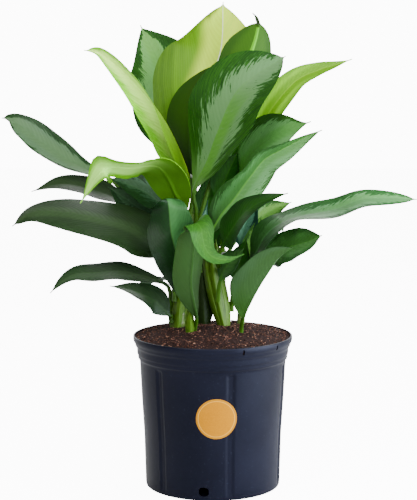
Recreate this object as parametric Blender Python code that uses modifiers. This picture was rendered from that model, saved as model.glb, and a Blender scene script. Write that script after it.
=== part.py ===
"""A potted Chinese evergreen: a plastic nursery pot, heaped soil, four canes and their large leaves.

The origin is the centre of the pot's foot, on the surface that the pot stands on, and +Z is up.
The front of the plant faces -Y. Lengths in the tables are millimetres; MM turns them into metres.
"""
import math

import bmesh
import bpy
import numpy as np

MM = 0.001
GAP = 0.3          # clearance that touching pieces keep
CLEAR = 4 * GAP    # wider clearance, where a stem or a stalk leans away from its neighbour

# The pot: a thin shell turned about Z, with a stepped lip, six flutes and four drain holes.
POT_HEIGHT = 246
POT_SEGMENTS = 48
POT_WALL = 2.6
POT_FOOT_RADIUS = 108
LIP_RADIUS = 128.5
LIP_ROUND = 1.4
# Radius and height down the outer skin: the lip's band and the two steps under it, then the wall.
POT_LIP = [(LIP_RADIUS - LIP_ROUND, POT_HEIGHT), (LIP_RADIUS, POT_HEIGHT - LIP_ROUND), (128.3, 237),
           (125.4, 231), (122.8, 226), (122.2, 216), (120.8, 213.5), (120.8, 209.5), (118.2, 206)]
POT_SIDE = [(117.9, 203), (117.5, 197), (115.3, 150), (111.3, 84), (POT_FOOT_RADIUS + 1.2, 4),
            (POT_FOOT_RADIUS, 0)]
POT_FLOOR = 6
INNER_HEIGHTS = (84, 150, 203, 206, 209.5, 213.5, 216, 226, 231, 237)     # bends of the inner skin
RECESS_OUTER = 100                 # the ring-shaped hollow under the base
RECESS_INNER = 60
RECESS_DEPTH = 3
RECESS_SLOPE = (2, 3)              # how far the hollow's outer and inner sides lean
FLUTE_COUNT = 6
FLUTE_FIRST = -75.0                # degrees, the flute right of the label
FLUTE_DEPTH = 1.2
FLUTE_HALF = 0.75                  # half a flute's width, in segments of the pot
FLUTE_TOP, FLUTE_FOOT = 200, 3     # heights that a flute runs between
DRAIN_COUNT = 4
DRAIN_FIRST = -97.5
DRAIN_WIDTH = 16
DRAIN_TOP, DRAIN_FOOT = 22, 3
DRAIN_INNER, DRAIN_REACH = 102, 12 # radius where a hole starts and how far it is cut outwards
DRAIN_ARC = 9                      # points on the round top
SLIT_ANGLES = (-68.0, -38.0)       # hanger slits in the lip's band
SLIT_REACH, SLIT_WIDTH, SLIT_HEIGHT = 12, 3, 8
SLIT_MIDDLE = (127, 238.5)          # radius and height

# The round sticker lies on the wall, a little right of the front.
LABEL_RADIUS = 32
LABEL_THICKNESS = 0.5
LABEL_HEIGHT = 133
LABEL_ANGLE = -87.2

# The soil: it fills the pot to the lip and is heaped round the canes.
SOIL_EDGE = 243
SOIL_HEAP = 17
SOIL_LUMP = 1.2
SOIL_RINGS = (1.0, 0.86, 0.68, 0.48, 0.27)   # shares of the soil's radius, a ring of points at each
SOIL_UNDER_EDGE = 4                # below the soil's edge by this, the pot's radius sets the soil's
HOLE_TOP = 268
HOLE_SIDES = 16
HOLE_BENDS = (-0.25, 0, 0.25)      # where a stem's hole may bend, as shares of its depth
SEED = 11

# The canes: points on the axis and the radius at each.
CANE_SIDES = 16
CANE_STEPS = 2                     # straight lengths between two of a cane's points
CANES = {
    "cane_left": ([(-56, 10, 225), (-50, 8, 330), (-38, 5, 415), (-32, 4, 440)], (11, 10, 9, 7.5)),
    "cane_right": ([(24, 18, 225), (15, 20, 310), (7, 20, 375), (4, 20, 392)], (9, 8, 6.5, 5.5)),
    "cane_back": ([(-12, 48, 225), (-9, 52, 300), (-6, 56, 350)], (7, 6.5, 5)),
    "cane_side": ([(44, 34, 225), (48, 38, 290), (50, 40, 325)], (7, 6.5, 5)),
}

# The leaves. A stalk has this radius where it meets the blade and is thicker at its foot.
STALK = 3.2
FOOT_SWELL = 1.3
FOOT_RISE = 12                     # height over which the foot lies along its cane
FOOT_FLAT = 0.98                   # half width of a stalk's section, as a share of its radius
TOP_RIDGE = 0.6                    # height of a stalk's upper side, as a share of its radius
SKIN = 0.8                         # thickness of a blade away from its midrib
BLADE_START = 0.12                 # share of the blade over which the stalk's ridge melts into it
TIP_RIB = 0.2                      # the midrib's radius at the tip, as a share of the stalk's
UNDER_RIDGE = 0.75                 # height of the midrib under the blade, as a share of its radius
FOLD_CURVE = 1.35                  # above 1, a half of the blade curves up towards its edge
STALK_STEPS = 4
BLADE_STEPS = 11
ACROSS = (-1.0, -0.5, 0.0, 0.5, 1.0)
WAVE = 0.035                       # height of the edge waves, as a share of the half width
WAVE_TURNS = 2.5
WAVE_SHIFT = 0.35                  # turns by which one edge's waves lead the other's
TAIL = 0.98                        # where a blade ends and its thread-like tip starts
CURVE_STEPS = 32

# For each leaf: where its stalk is seated, the route of the midrib, the greatest width, the directions
# that the upper face looks to from neck to tip, the fold of the halves in degrees, the place of the
# widest section, the bluntness of the tip and the tone. A seat is a cane, the height of the foot on it
# and the side, in degrees from +X; None is the soil. The blade starts at the route's point number
# "neck", which is 1 unless the row says otherwise. "steps" gives a curled blade more sections.
LEAVES = {
    "leaf_crown_back": dict(
        seat=("cane_left", 428, 75), width=182, faces=[(0.15, -0.95, 0.2), (-0.3, -0.95, 0.2)],
        route=[(-32, 26, 453), (-34, 36, 496), (-37, 58, 557), (-16, 76, 623), (13, 82, 701),
               (17, 70, 779)],
        fold=(15, 15), peak=0.55, blunt=0.75, tone="lime"),
    "leaf_crown_right": dict(
        seat=("cane_left", 430, 0), width=94, faces=[(0.05, 1, 0.1), (-0.15, 0.9, 0.35)],
        route=[(-8, 8, 479), (15, 10, 544), (35, 12, 610), (56, 18, 682), (69, 26, 722), (74, 31, 748)],
        fold=(25, 21), peak=0.64, blunt=0.52, tone="dark"),
    "leaf_crown_front": dict(
        seat=("cane_left", 405, -60), width=126, faces=[(-0.8, -0.55, 0.25), (-0.1, -1, 0.2)],
        route=[(-27, -18, 446), (-31, -26, 478), (-8, -38, 528), (9, -52, 575), (42, -66, 642),
               (112, -62, 692)],
        fold=(11, 22), peak=0.53, blunt=0.7, tone="silver"),
    "leaf_crown_inner": dict(
        seat=("cane_left", 432, -110), width=104, faces=[(0.3, 0.95, 0), (0.25, 0.95, 0)],
        route=[(-33, -8, 461), (-28, -8, 498), (-35, -6, 545), (-34, -6, 600), (-9, -8, 650),
               (30, -8, 690)],
        fold=(26, 26), peak=0.41, blunt=1.25, tone="dark"),
    "leaf_upper_left": dict(
        seat=("cane_left", 408, 188), width=72, faces=[(-0.75, -0.5, 0.45), (-0.6, -0.65, 0.45)],
        route=[(-43, 0, 470), (-39, -6, 496), (-73, -16, 584), (-123, -28, 650), (-175, -32, 695),
               (-201, -32, 701)],
        fold=(68, 48), peak=0.25, blunt=0.6, tone="pale"),
    "leaf_high_left": dict(
        seat=("cane_left", 395, 125), width=147, faces=[(0.45, -0.9, 0.15), (0.4, -0.9, -0.2)],
        route=[(-43, 40, 468), (-48, 58, 511), (-81, 96, 581), (-85, 124, 666), (-120, 128, 743)],
        fold=(19, 17), peak=0.55, blunt=0.95, tone="silver"),
    "leaf_upper_right": dict(
        seat=("cane_right", 385, 60), width=58, faces=[(-0.5, -0.7, 0.5), (-0.2, -0.8, 0.55)],
        route=[(25, 40, 452), (40, 46, 490), (57, 52, 528), (71, 56, 560), (90, 62, 597), (115, 66, 631),
               (140, 66, 655), (171, 62, 669), (199, 56, 678), (225, 52, 687)],
        fold=(15, 15), peak=0.42, blunt=1.0, tone="lime"),
    "leaf_right_silver": dict(
        seat=("cane_right", 378, -20), width=100, faces=[(-0.3, -0.8, 0.55), (-0.25, -0.8, 0.55)],
        route=[(22, 6, 440), (33, 2, 478), (60, -24, 538), (101, -60, 572), (149, -98, 593)],
        fold=(-5, -1), peak=0.5, blunt=1.45, tone="silver"),
    "leaf_right_folded": dict(
        seat=("cane_right", 350, -110), width=66,
        faces=[(-0.46, -0.8, 0.45), (0.3, -0.85, 0), (0.46, -0.8, -0.3)],
        route=[(-14, -26, 380), (-3, -28, 411), (14, -38, 444), (30, -48, 465), (47, -60, 490),
               (62, -72, 512), (80, -84, 535), (110, -98, 553), (140, -108, 570), (165, -116, 581)],
        fold=(30, 36), peak=0.32, blunt=0.8, tone="pale"),
    "leaf_front_right": dict(
        seat=("cane_right", 328, -70), width=58, faces=[(-0.1, -0.8, 0.55), (0.05, -0.6, 0.8)],
        route=[(7, -50, 375), (15, -74, 399), (30, -104, 430), (51, -132, 460), (77, -148, 477),
               (112, -158, 489)],
        fold=(8, 12), peak=0.24, blunt=1.0, tone="dark"),
    "leaf_far_right": dict(
        seat=("cane_side", 305, -90), neck=0, width=62,
        faces=[(-0.3, -0.6, 0.75), (-0.25, -0.25, 0.93), (-0.1, -0.55, 0.8), (0, -0.8, 0.6)],
        route=[(58, -12, 356), (70, -24, 383), (84, -28, 410), (107, -22, 428), (150, -6, 440),
               (196, -2, 449), (238, -6, 465), (279, -6, 467), (326, -4, 465)],
        fold=(16, 2), peak=0.25, blunt=0.6, tone="silver"),
    "leaf_low_right": dict(
        seat=("cane_side", 290, -20), width=66, faces=[(0.4, -0.8, 0.45), (0.4, -0.7, 0.6)],
        route=[(66, 6, 332), (77, -2, 355), (91, -15, 373), (110, -32, 387), (131, -50, 397),
               (150, -64, 405), (169, -78, 416)],
        fold=(7, 7), peak=0.56, blunt=0.85, tone="dark"),
    "leaf_front_right_low": dict(
        seat=None, neck=2, width=85, faces=[(-0.75, 0.7, 0.1), (-0.45, 0.8, 0.4)],
        route=[(46, -38, 240), (45, -39, 261), (47, -54, 280), (60, -76, 314), (80, -98, 354),
               (100, -114, 386), (122, -124, 404)],
        fold=(38, 43), peak=0.42, blunt=0.9, tone="dark"),
    "leaf_front_curled": dict(
        seat=None, neck=2, width=58, steps=18,
        faces=[(-0.5, 0.85, 0.1), (-0.55, 0.8, 0.2), (-0.5, 0.75, 0.4), (-0.3, 0.3, 0.9),
               (0.1, -0.8, 0.55), (0.1, -0.9, 0.3), (0, -0.7, 0.7)],
        route=[(-31, -28, 240), (-29, -31, 258), (-26, -48, 280), (-29, -66, 303), (-34, -80, 340),
               (-31, -96, 382), (-29, -110, 415), (-26, -122, 440), (-18, -136, 433), (-15, -142, 415),
               (-9, -147, 400), (3, -150, 390), (23, -150, 388), (47, -150, 396)],
        fold=(32, 25, 10, 5), peak=0.3, blunt=0.95, tone="green"),
    "leaf_front_left": dict(
        seat=None, neck=2, width=78, faces=[(0.25, -0.85, 0.5), (0.15, -0.75, 0.62), (-0.1, -0.4, 0.9),
                                            (-0.15, 0.3, 0.95)],
        route=[(-39, -38, 240), (-38, -39, 261), (-36, -48, 295), (-43, -55, 325), (-50, -62, 362),
               (-64, -76, 416), (-72, -78, 473), (-90, -60, 452)],
        fold=(-16, -10), peak=0.54, blunt=0.85, tone="dark"),
    "leaf_long_left": dict(
        seat=("cane_left", 300, -135), width=100, faces=[(-0.6, -0.35, 0.7), (-0.15, -0.6, 0.8)],
        route=[(-66, -18, 346), (-72, -24, 371), (-120, -36, 418), (-178, -44, 438), (-240, -50, 450),
               (-286, -54, 448), (-314, -56, 428)],
        fold=(2, -9), peak=0.3, blunt=0.7, tone="grey"),
    "leaf_far_left": dict(
        seat=("cane_left", 362, 130), width=56, faces=[(-0.1, -0.55, 0.8), (-0.4, -0.6, 0.7)],
        route=[(-119, 56, 434), (-165, 58, 491), (-200, 58, 506), (-232, 54, 522), (-272, 50, 550),
               (-304, 44, 575), (-327, 40, 591), (-340, 36, 593)],
        fold=(12, 12), peak=0.6, blunt=0.55, tone="grey"),
    "leaf_left_arching": dict(
        seat=("cane_left", 385, -125), width=85,
        faces=[(0.1, 0.95, 0.3), (0.7, 0.6, 0.45), (0.7, 0.55, 0.4)],
        route=[(-36, -36, 413), (-43, -44, 442), (-57, -60, 477), (-83, -82, 522), (-124, -108, 523),
               (-164, -128, 522), (-199, -150, 473)],
        fold=(-3, -7), peak=0.39, blunt=1, tone="lime"),
    "leaf_mid_left": dict(
        seat=("cane_left", 330, 175), width=57, faces=[(0, -0.4, 0.9), (0.05, -0.55, 0.85)],
        route=[(-85, 14, 398), (-126, 26, 447), (-196, 36, 477), (-247, 34, 486), (-293, 28, 475)],
        fold=(12, 12), peak=0.43, blunt=1.15, tone="grey"),
    "leaf_inner_left": dict(
        seat=("cane_left", 350, -160), width=58, faces=[(0.15, -0.85, 0.5), (0, -0.7, 0.7)],
        route=[(-59, -8, 420), (-71, -6, 445), (-108, -8, 477), (-166, -12, 500)],
        fold=(18, 18), peak=0.42, blunt=1.2, tone="silver"),
    "leaf_low_left": dict(
        seat=("cane_left", 272, 170), neck=0, width=46, faces=[(-0.3, -0.5, 0.8), (-0.3, -0.6, 0.7)],
        route=[(-72, 0, 324), (-86, -2, 333), (-110, -4, 341), (-149, -10, 350), (-188, -20, 349),
               (-219, -28, 348), (-239, -34, 338), (-258, -38, 319)],
        fold=(4, 3), peak=0.5, blunt=0.9, tone="dark"),
    "leaf_lowest_left": dict(
        seat=("cane_left", 264, -150), neck=0, width=50, faces=[(-0.25, -0.75, 0.65), (-0.05, -0.4, 0.9)],
        route=[(-69, -14, 279), (-93, -26, 305), (-127, -40, 323), (-162, -54, 333)],
        fold=(10, 10), peak=0.37, blunt=1.1, tone="dark"),
    "leaf_inner_shaded": dict(
        seat=("cane_right", 388, -150), width=50, faces=[(-0.2, -0.95, 0.3)],
        route=[(-1, 1, 440), (6, 1, 464), (21, -3, 499), (41, -5, 543)],
        fold=(16, 16), peak=0.42, blunt=1.2, tone="dark"),
    "leaf_inner_low": dict(
        seat=("cane_right", 280, -10), width=44, faces=[(-0.2, -0.9, 0.35)],
        route=[(32, 8, 305), (38, 2, 329), (44, -12, 367), (54, -22, 405)],
        fold=(16, 16), peak=0.42, blunt=1.2, tone="dark"),
    "leaf_inner_right": dict(
        seat=("cane_side", 310, -150), width=48, faces=[(-0.2, -0.9, 0.35)],
        route=[(40, 20, 363), (44, 24, 383), (54, 20, 423), (74, 12, 467)],
        fold=(18, 18), peak=0.42, blunt=1.2, tone="silver"),
    "leaf_small_right": dict(
        seat=("cane_side", 318, 140), width=44, faces=[(-0.15, -0.85, 0.5)],
        route=[(50, 52, 384), (60, 60, 404), (92, 68, 436), (130, 68, 454)],
        fold=(20, 20), peak=0.42, blunt=1.2, tone="lime"),
    "leaf_rear_centre_high": dict(
        seat=("cane_left", 400, 80), width=110, faces=[(0, -0.9, 0.45), (0, -0.45, 0.9)],
        route=[(-30, 40, 450), (-28, 60, 485), (-30, 110, 555), (-40, 165, 600), (-52, 215, 600)],
        fold=(20, 20), peak=0.42, blunt=1.2, tone="silver"),
    "leaf_rear_right_high": dict(
        seat=("cane_right", 372, 130), width=105, faces=[(-0.25, -0.85, 0.45), (-0.15, -0.5, 0.85)],
        route=[(14, 52, 430), (34, 72, 470), (62, 114, 540), (92, 162, 585), (118, 205, 590)],
        fold=(20, 20), peak=0.42, blunt=1.2, tone="silver"),
    "leaf_rear_left_high": dict(
        seat=("cane_left", 366, 100), width=92, faces=[(0.25, -0.85, 0.5), (0.1, -0.3, 0.95)],
        route=[(-66, 60, 420), (-78, 82, 445), (-100, 132, 486), (-118, 182, 494), (-130, 226, 474)],
        fold=(20, 20), peak=0.42, blunt=1.2, tone="silver"),
    "leaf_rear_centre": dict(
        seat=("cane_back", 340, 90), width=90, faces=[(0, -0.5, 0.85), (0, 0, 1)],
        route=[(-4, 90, 385), (0, 112, 410), (8, 165, 440), (16, 215, 435), (20, 258, 405)],
        fold=(18, 18), peak=0.42, blunt=1.2, tone="dark"),
    "leaf_rear_left": dict(
        seat=("cane_back", 320, 170), width=80, faces=[(0.25, -0.35, 0.9), (0, 0, 1)],
        route=[(-48, 80, 364), (-70, 102, 384), (-108, 138, 408), (-140, 166, 408), (-166, 190, 390)],
        fold=(18, 18), peak=0.42, blunt=1.2, tone="silver"),
    "leaf_rear_right": dict(
        seat=("cane_back", 325, 30), width=88, faces=[(-0.25, -0.35, 0.9), (0, 0, 1)],
        route=[(22, 84, 362), (38, 106, 385), (72, 150, 412), (104, 190, 410), (126, 222, 385)],
        fold=(18, 18), peak=0.42, blunt=1.2, tone="silver"),
    "leaf_rear_left_low": dict(
        seat=("cane_back", 285, 140), width=66, faces=[(0, 0, 1)],
        route=[(-38, 82, 306), (-54, 100, 314), (-80, 134, 316), (-106, 166, 304), (-126, 190, 282)],
        fold=(18, 18), peak=0.42, blunt=1.2, tone="dark"),
    "leaf_rear_right_low": dict(
        seat=("cane_back", 290, 60), width=76, faces=[(0, 0, 1)],
        route=[(10, 92, 322), (22, 116, 338), (42, 156, 350), (58, 194, 340), (66, 226, 314)],
        fold=(18, 18), peak=0.42, blunt=1.2, tone="dark"),
}

# Base colour, roughness and metallic value of each finish.
FINISHES = {
    "pot": ((0.012, 0.016, 0.028), 0.38),
    "soil": ((0.045, 0.022, 0.014), 0.95),
    "label": ((0.80, 0.46, 0.035), 0.5),
    "cane": ((0.16, 0.22, 0.05), 0.5),
    "lime": ((0.36, 0.50, 0.07), 0.4),
    "dark": ((0.035, 0.11, 0.02), 0.35),
    "silver": ((0.22, 0.34, 0.19), 0.4),
    "pale": ((0.34, 0.50, 0.20), 0.4),
    "grey": ((0.10, 0.19, 0.09), 0.4),
    "green": ((0.09, 0.28, 0.04), 0.4),
}


def clear_scene():
    for old in list(bpy.data.objects):
        bpy.data.objects.remove(old, do_unlink=True)


def new_collection(name):
    group = bpy.data.collections.new(name)
    bpy.context.scene.collection.children.link(group)
    return group


def finish(name):
    """One Principled material for each sub-part's finish."""
    material = bpy.data.materials.new(name)
    material.use_nodes = True
    colour, roughness = FINISHES[name.split(".")[0]]
    shader = material.node_tree.nodes["Principled BSDF"]
    shader.inputs["Base Color"].default_value = (*colour, 1)
    shader.inputs["Roughness"].default_value = roughness
    shader.inputs["Metallic"].default_value = 0.0
    return material


def add_object(name, data, group, look):
    piece = bpy.data.objects.new(name, data)
    data.materials.append(finish(look + "." + name))
    group.objects.link(piece)
    return piece


def smooth_by_angle(mesh, degrees=35):
    mesh.shade_smooth()
    mesh.set_sharp_from_angle(angle=math.radians(degrees))


def catmull(points, steps):
    """A smooth curve through the points, with the given number of steps between neighbours."""
    route = np.array(points, float)
    route = np.vstack([2 * route[0] - route[1], route, 2 * route[-1] - route[-2]])
    curve = []
    for before, start, end, after in zip(route, route[1:], route[2:], route[3:]):
        knots = [max(np.linalg.norm(q - p) ** 0.5, 1e-6) for p, q in
                 ((before, start), (start, end), (end, after))]
        leave = end - start + knots[1] * ((start - before) / knots[0]
                                          - (end - before) / (knots[0] + knots[1]))
        arrive = end - start + knots[1] * ((after - end) / knots[2]
                                           - (after - start) / (knots[1] + knots[2]))
        t = np.linspace(0, 1, steps, endpoint=False)[:, None]
        curve.append((2 * t**3 - 3 * t**2 + 1) * start + (t**3 - 2 * t**2 + t) * leave
                     + (3 * t**2 - 2 * t**3) * end + (t**3 - t**2) * arrive)
    return np.vstack(curve + [route[-2:-1]])


def evenly(curve, steps):
    """Points at equal distances along a curve."""
    lengths = np.linalg.norm(np.diff(curve, axis=0), axis=1)
    along = np.concatenate([[0], np.cumsum(lengths)])
    wanted = np.linspace(0, along[-1], steps + 1)
    return np.stack([np.interp(wanted, along, curve[:, axis]) for axis in range(3)], axis=1)


def unit(vectors):
    return vectors / np.linalg.norm(vectors, axis=-1, keepdims=True)


def keyed(keys, fractions):
    """Values at fractions of the way through equally spaced keys."""
    keys = np.array(keys, float).reshape(len(keys), -1)
    places = np.linspace(0, 1, len(keys))
    return np.stack([np.interp(fractions, places, column) for column in keys.T], axis=1)


def wall_radius(height):
    """Outer radius of the pot at a height."""
    outline = sorted((z, r) for r, z in POT_LIP + POT_SIDE)
    return float(np.interp(height, [z for z, _ in outline], [r for _, r in outline]))


def inner_radius(height):
    return wall_radius(height) - POT_WALL


def turned(name, outline, group, look):
    """A solid turned about Z from a list of (radius, height), with its ends on the axis."""
    mesh = bpy.data.meshes.new(name)
    mesh.from_pydata([(radius * MM, 0, height * MM) for radius, height in outline],
                     [(step, step + 1) for step in range(len(outline) - 1)], [])
    piece = add_object(name, mesh, group, look)
    turn = piece.modifiers.new("turn", "SCREW")
    turn.axis = "Z"
    turn.steps = turn.render_steps = POT_SEGMENTS
    turn.use_merge_vertices = True
    turn.merge_threshold = 0.01 * MM
    return piece


def keep_shape(piece):
    """Swap the mesh for what the modifiers make of it, so that its points can be moved."""
    bpy.context.view_layer.update()
    shaped = piece.evaluated_get(bpy.context.evaluated_depsgraph_get())
    mesh = bpy.data.meshes.new_from_object(shaped)
    piece.modifiers.clear()
    piece.data = mesh


def subtract(piece, cutters):
    for cutter in cutters:
        cut = piece.modifiers.new("cut_" + cutter.name, "BOOLEAN")
        cut.operation = "DIFFERENCE"
        cut.solver = "EXACT"
        cut.object = cutter


def as_cutter(name, shape, group):
    mesh = bpy.data.meshes.new(name)
    bmesh.ops.recalc_face_normals(shape, faces=shape.faces)
    shape.to_mesh(mesh)
    shape.free()
    cutter = bpy.data.objects.new(name, mesh)
    cutter.hide_render = True
    cutter.display_type = "WIRE"
    group.objects.link(cutter)
    return cutter


def drain_cutter(index, group):
    """An arch: a round top over a straight slot that ends just above the foot."""
    shape = bmesh.new()
    half = DRAIN_WIDTH / 2
    arc = [(half * math.cos(turn), DRAIN_TOP - half + half * math.sin(turn))
           for turn in np.linspace(0, math.pi, DRAIN_ARC)]
    outline = [(half, DRAIN_FOOT)] + arc + [(-half, DRAIN_FOOT)]
    face = shape.faces.new([shape.verts.new((DRAIN_INNER * MM, y * MM, z * MM)) for y, z in outline])
    wall = bmesh.ops.extrude_face_region(shape, geom=[face])
    moved = [item for item in wall["geom"] if isinstance(item, bmesh.types.BMVert)]
    bmesh.ops.translate(shape, verts=moved, vec=(DRAIN_REACH * MM, 0, 0))
    cutter = as_cutter("cut_drain_%d" % index, shape, group)
    cutter.rotation_euler.z = math.radians(DRAIN_FIRST + index * 360 / DRAIN_COUNT)
    return cutter


def slit_cutter(index, group):
    """A short slot for a hanger, through the lip's band."""
    shape = bmesh.new()
    bmesh.ops.create_cube(shape, size=1)
    size = (SLIT_REACH * MM, SLIT_WIDTH * MM, SLIT_HEIGHT * MM)
    bmesh.ops.scale(shape, verts=shape.verts, vec=size)
    bmesh.ops.translate(shape, verts=shape.verts, vec=(SLIT_MIDDLE[0] * MM, 0, SLIT_MIDDLE[1] * MM))
    cutter = as_cutter("cut_slit_%d" % index, shape, group)
    cutter.rotation_euler.z = math.radians(SLIT_ANGLES[index])
    return cutter


def press_flutes(piece):
    """Push the outer wall in along six upright bands, two segments wide."""
    step, turn = 360 / POT_SEGMENTS, 360 / FLUTE_COUNT
    for vertex in piece.data.vertices:
        radius = math.hypot(vertex.co.x, vertex.co.y) / MM
        height = vertex.co.z / MM
        on_wall = FLUTE_FOOT <= height <= FLUTE_TOP and radius > wall_radius(height) - POT_WALL / 2
        if not on_wall:
            continue
        angle = math.degrees(math.atan2(vertex.co.y, vertex.co.x)) - FLUTE_FIRST
        off = abs((angle + turn / 2) % turn - turn / 2)
        if off < step * FLUTE_HALF:
            scale = 1 - FLUTE_DEPTH / radius
            vertex.co.x *= scale
            vertex.co.y *= scale


def make_pot(group, cutters):
    inside = [(inner_radius(z), z) for z in (POT_FLOOR,) + INNER_HEIGHTS]
    rim = [(LIP_RADIUS - POT_WALL, POT_HEIGHT)]
    under = [(RECESS_OUTER + RECESS_SLOPE[0], 0), (RECESS_OUTER, RECESS_DEPTH),
             (RECESS_INNER + RECESS_SLOPE[1], RECESS_DEPTH), (RECESS_INNER, 0), (0, 0)]
    pot = turned("pot", [(0, POT_FLOOR)] + inside + rim + POT_LIP + POT_SIDE + under, group, "pot")
    keep_shape(pot)
    press_flutes(pot)
    holes = [drain_cutter(index, cutters) for index in range(DRAIN_COUNT)]
    slits = [slit_cutter(index, cutters) for index in range(len(SLIT_ANGLES))]
    subtract(pot, holes + slits)
    smooth_by_angle(pot.data)
    return pot


def soil_height(share):
    """Height of the heap at a share of the soil's radius."""
    return SOIL_EDGE + SOIL_HEAP * (1 - share**2)


def make_soil(group, cutters, stems):
    edge_radius = inner_radius(SOIL_EDGE - SOIL_UNDER_EDGE) - GAP
    side = [(inner_radius(z) - GAP, z) for z in reversed(INNER_HEIGHTS)]
    top = [(edge_radius * share, soil_height(share)) for share in reversed(SOIL_RINGS)]
    floor = POT_FLOOR + GAP
    low = [(inner_radius(POT_FLOOR) - GAP, floor), (0, floor)]
    soil = turned("soil", [(0, soil_height(0))] + top + side + low, group, "soil")
    keep_shape(soil)
    chance = np.random.default_rng(SEED)
    for vertex in soil.data.vertices:
        if vertex.co.z > (SOIL_EDGE + 1) * MM:
            vertex.co.z += chance.uniform(-SOIL_LUMP, SOIL_LUMP) * MM
    subtract(soil, [hole_cutter(name, foot, radius, cutters) for name, foot, radius in stems])
    smooth_by_angle(soil.data)
    return soil


def hole_cutter(name, axis, radius, group):
    """A plain round hole in the soil that follows the lower end of a stem."""
    foot = axis[0, 2] - CLEAR
    depth = HOLE_TOP - foot
    shape = bmesh.new()
    bmesh.ops.create_cone(shape, cap_ends=True, segments=HOLE_SIDES, radius1=(radius + 2 * GAP) * MM,
                          radius2=(radius + 2 * GAP) * MM, depth=depth * MM)
    for share in HOLE_BENDS:
        bmesh.ops.bisect_plane(shape, geom=shape.verts[:] + shape.edges[:] + shape.faces[:],
                               plane_co=(0, 0, share * depth * MM), plane_no=(0, 0, 1))
    for vertex in shape.verts:
        height = vertex.co.z / MM + depth / 2 + foot
        centre = [np.interp(height, axis[:, 2], axis[:, side]) for side in (0, 1)]
        vertex.co = (vertex.co.x + centre[0] * MM, vertex.co.y + centre[1] * MM, height * MM)
    return as_cutter("cut_hole_" + name, shape, group)


def make_label(group):
    """A flat disc rolled round the wall, with its back a hair off the plastic."""
    mesh = bpy.data.meshes.new("round_label")
    shape = bmesh.new()
    bmesh.ops.create_circle(shape, cap_ends=True, segments=36, radius=LABEL_RADIUS * MM)
    bmesh.ops.poke(shape, faces=shape.faces)
    bmesh.ops.subdivide_edges(shape, edges=[e for e in shape.edges if len(e.link_faces) == 2], cuts=2)
    bmesh.ops.triangulate(shape, faces=shape.faces)
    for vertex in shape.verts:
        across, up = vertex.co.x / MM, vertex.co.y / MM
        height = LABEL_HEIGHT + up
        radius = wall_radius(height) + GAP
        angle = math.radians(LABEL_ANGLE) + across / wall_radius(LABEL_HEIGHT)
        vertex.co = (radius * math.cos(angle) * MM, radius * math.sin(angle) * MM, height * MM)
    shape.to_mesh(mesh)
    shape.free()
    label = add_object("round_label", mesh, group, "label")
    solid = label.modifiers.new("thickness", "SOLIDIFY")
    solid.thickness = LABEL_THICKNESS * MM
    solid.offset = 1.0
    return label


def cane_axis(name):
    points, radii = CANES[name]
    axis = catmull(points, CANE_STEPS)
    return axis, np.interp(np.linspace(0, 1, len(axis)), np.linspace(0, 1, len(radii)), radii)


def cane_at(name, height):
    """Centre and radius of a cane at a height."""
    axis, radii = cane_axis(name)
    centre = [np.interp(height, axis[:, 2], axis[:, side]) for side in (0, 1)]
    return np.array([*centre, height]), np.interp(height, axis[:, 2], radii)


def make_cane(name, group):
    """A tapering tube; its lower end stands in the soil."""
    axis, radii = cane_axis(name)
    curve = bpy.data.curves.new(name, "CURVE")
    curve.dimensions = "3D"
    curve.bevel_depth = MM
    curve.bevel_resolution = CANE_SIDES // 2 - 2
    curve.use_fill_caps = True
    line = curve.splines.new("POLY")
    line.points.add(len(axis) - 1)
    for point, place, radius in zip(line.points, axis, radii):
        point.co = (*(place * MM), 1)
        point.radius = radius
    line.use_smooth = True
    return add_object(name, curve, group, "cane")


def seat_points(seat, face):
    """Two points beside a cane: where a stalk starts and where it starts to leave the cane. The
    stalk's section isn't round, so its own reach towards the cane sets how near its axis comes."""
    name, height, side = seat
    outward = np.array([math.cos(math.radians(side)), math.sin(math.radians(side)), 0])
    low, radius = cane_at(name, height)
    high, _ = cane_at(name, height + FOOT_RISE)
    tangent = unit(high - low + outward * CLEAR)
    normal = unit(face - np.dot(face, tangent) * tangent)
    sideways = np.cross(tangent, normal)
    rib = STALK * FOOT_SWELL
    across = np.array(ACROSS)[:, None] * FOOT_FLAT
    ridge = rib * np.sqrt(1 - across**2)
    corners = np.vstack([across * rib * sideways + (SKIN / 2 + ridge * TOP_RIDGE) * normal,
                         across * rib * sideways - (SKIN / 2 + ridge) * normal])
    clear = radius + np.max(corners @ -outward) + GAP
    return [low + outward * clear, high + outward * (clear + CLEAR)]


def half_width(along, peak, blunt):
    """Half width of a blade, as a share of its greatest: wedge-shaped base, drawn-out tip."""
    base = np.sin(np.pi / 2 * np.clip(along / peak, 0, 1))
    tip = np.cos(np.pi / 2 * np.clip((along - peak) / (TAIL - peak), 0, 1)) ** blunt
    return np.where(along < peak, base, tip)


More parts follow.
